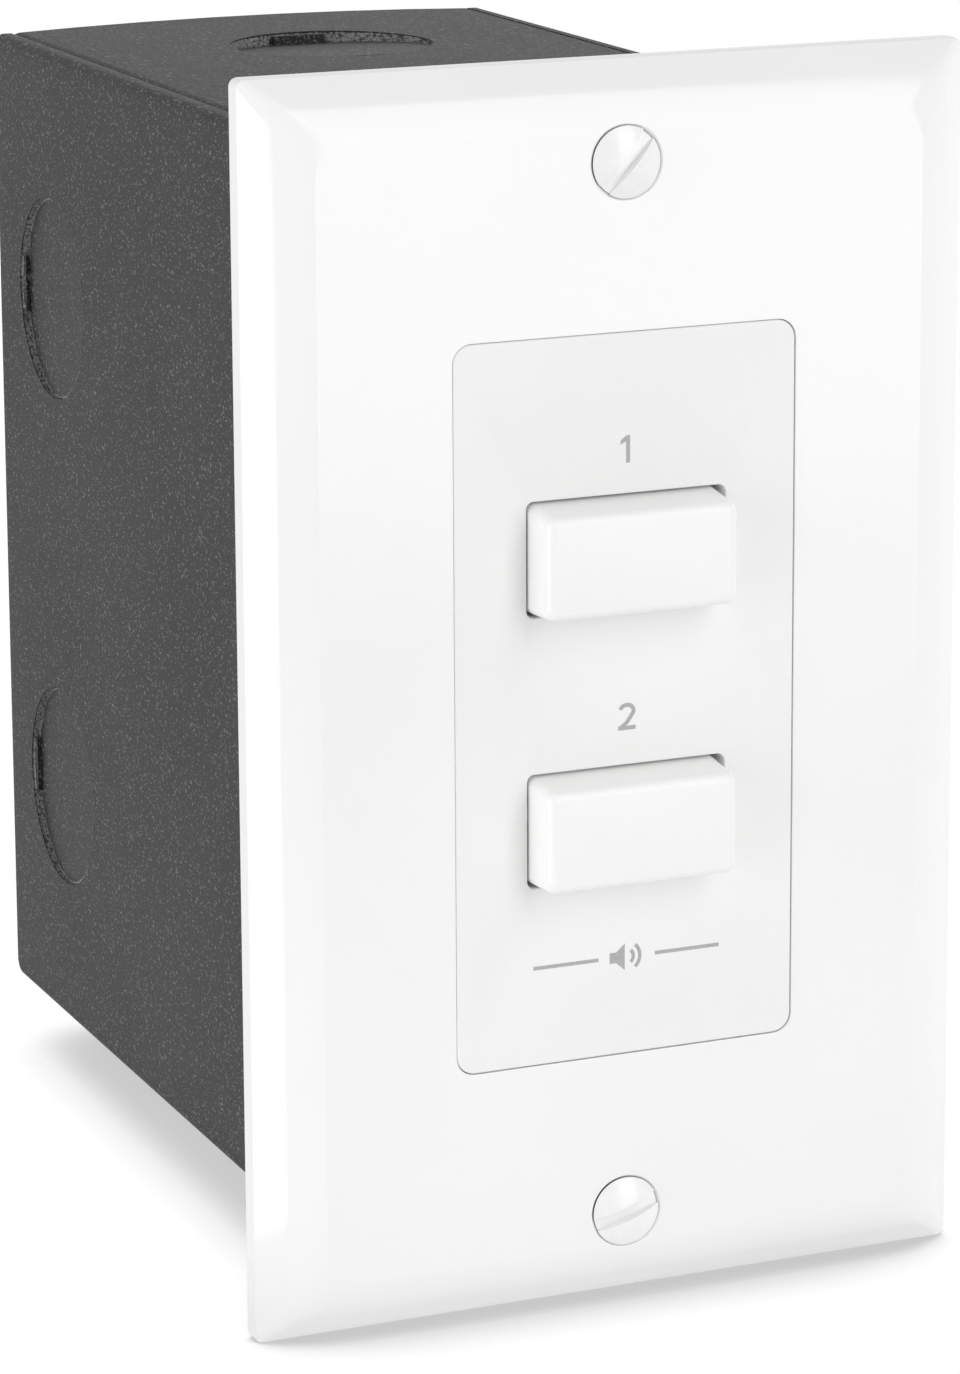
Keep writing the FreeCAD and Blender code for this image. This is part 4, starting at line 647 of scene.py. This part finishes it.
# The sparse light grains are partly the coat's own light specks and partly painted glints of its texture.
grains = crumble.ramp(0.52, 0.74, 0.0, 0.9).blend(pitted, (0.21, 0.21, 0.213))
feed(box_grey, relief=(crumble, 0.00002), Roughness=crumble.ramp(0.3, 0.7, 0.44, 0.64),
     Base_Color=(sheared * crumble.ramp(0.35, 0.6, 0.15, 0.9)).blend(grains, (0.32, 0.32, 0.32)))
for piece, node in ((box_shell, "box_body"), (panels[0], "box_side_left"), (panels[1], "box_side_right")):
    piece.data.polygons.foreach_set("use_smooth", np.zeros(len(piece.data.polygons), bool))
    coat(box_grey, piece)
    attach(piece, "root")
    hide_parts(node)
ground_green, start = finish("green_ground_screw", (0.02, 0.25, 0.08), 0.3, Metallic=0.6)
feed(ground_green, Roughness=start.noise(900.0, 3.0).ramp(0.3, 0.7, 0.22, 0.4),
     Base_Color=start.noise(500.0).ramp(0.3, 0.7).blend((0.015, 0.20, 0.06), (0.03, 0.30, 0.11)))
coat(ground_green, "ground_screw")

# ---- Table and light --------------------------------------------------------------------------
# A pale table top that reaches back behind the switch, with a painted shadow round the object, a
# bright room, and three soft lamps: a tall one in front to the right, a narrow strip to the left in
# front, and one straight beside the box on the left.


def seen_directly(start):
    """1 for what the camera sees itself or in shiny and clear pieces, and 0 for what only lights
    the object: the sum of three outputs of Light Path."""
    rays = start.node("ShaderNodeLightPath", {}, {}, "Is Camera Ray").out.node.outputs
    return (Socket(start.tree, rays["Is Camera Ray"]) + Socket(start.tree, rays["Is Glossy Ray"])
            + Socket(start.tree, rays["Is Transmission Ray"]))


low, left_edge, right_edge, front_edge, rear_edge = cad_box[0][2], -0.06, 0.16, -0.09, 0.5
top = bpy.data.meshes.new("table")
top.from_pydata([(left_edge, front_edge, low), (right_edge, front_edge, low),
                 (right_edge, rear_edge, low), (left_edge, rear_edge, low)], [], [(0, 1, 2, 3)])
table = bpy.data.objects.new("table", top)
bpy.context.scene.collection.objects.link(table)
table_white = bpy.data.materials.new("table_white")
table_white.use_nodes = True
table_white.node_tree.nodes.clear()
start = Socket(table_white.node_tree)
# Where the camera or a shiny piece sees the table, its glow is dimmed by ambient occlusion near the object:
# a painted shadow. Elsewhere it is a matte white with a faint glow.
clear = start.node("ShaderNodeAmbientOcclusion", {"samples": 16}, {"Distance": 0.016}, "AO")
glow_with_painted_shadow = start.node("ShaderNodeEmission", {}, {"Strength": clear.ramp(0.3, 0.78, 0.58, 1.03)})
matte = start.node("ShaderNodeBsdfDiffuse", {}, {"Color": (0.8, 0.8, 0.8, 1.0)})
glow = start.node("ShaderNodeEmission", {}, {"Strength": 0.18})
dull = start.node("ShaderNodeAddShader", {}, {0: matte, 1: glow})
surface = start.node("ShaderNodeMixShader", {}, {0: seen_directly(start), 1: dull, 2: glow_with_painted_shadow})
ending = start.tree.nodes.new("ShaderNodeOutputMaterial")
start.tree.links.new(surface.out, ending.inputs["Surface"])
top.materials.append(table_white)

room = bpy.data.worlds.new("room")
room.use_nodes = True
room.node_tree.nodes.clear()
bpy.context.scene.world = room
start = Socket(room.node_tree)
place = start.node("ShaderNodeTexCoord", {}, {}, "Generated")
height = start.node("ShaderNodeSeparateXYZ", {}, {0: place}, 2)
across = Socket(start.tree, height.out.node.outputs[0])
level = height.ramp(-0.2, 0.9, 0.53, 0.34) + across.ramp(0.0, 0.9, 0.0, 0.42)
dim = start.node("ShaderNodeBackground", {}, {"Color": (1, 1, 1, 1), "Strength": level})
white = start.node("ShaderNodeBackground", {}, {"Color": (1, 1, 1, 1), "Strength": 1.0})
surface = start.node("ShaderNodeMixShader", {}, {0: seen_directly(start), 1: dim, 2: white})
ending = start.tree.nodes.new("ShaderNodeOutputWorld")
start.tree.links.new(surface.out, ending.inputs["Surface"])

for name, place, size, power in (("front_lamp", (0.464, -1.093, 0.529), (0.7, 1.9), 8.8),
                                 ("left_lamp", (-1.08, -0.52, -0.10), (0.16, 1.1), 2.0),
                                 ("side_lamp", (-1.195, -0.042, 0.1), (0.34, 1.0), 5.6)):
    lamp = bpy.data.objects.new(name, bpy.data.lights.new(name, "AREA"))
    lamp.data.shape, lamp.data.energy = "RECTANGLE", power
    lamp.data.size, lamp.data.size_y = size
    away = np.array(place) / np.linalg.norm(place)
    side = np.cross([0.0, 0.0, 1.0], away)
    side /= np.linalg.norm(side)
    turn = np.eye(4)
    turn[:3, :] = np.stack([side, np.cross(away, side), away, place], -1)
    lamp.matrix_world = Matrix(turn.tolist())
    bpy.context.scene.collection.objects.link(lamp)

bpy.context.scene.view_settings.view_transform = "Standard"
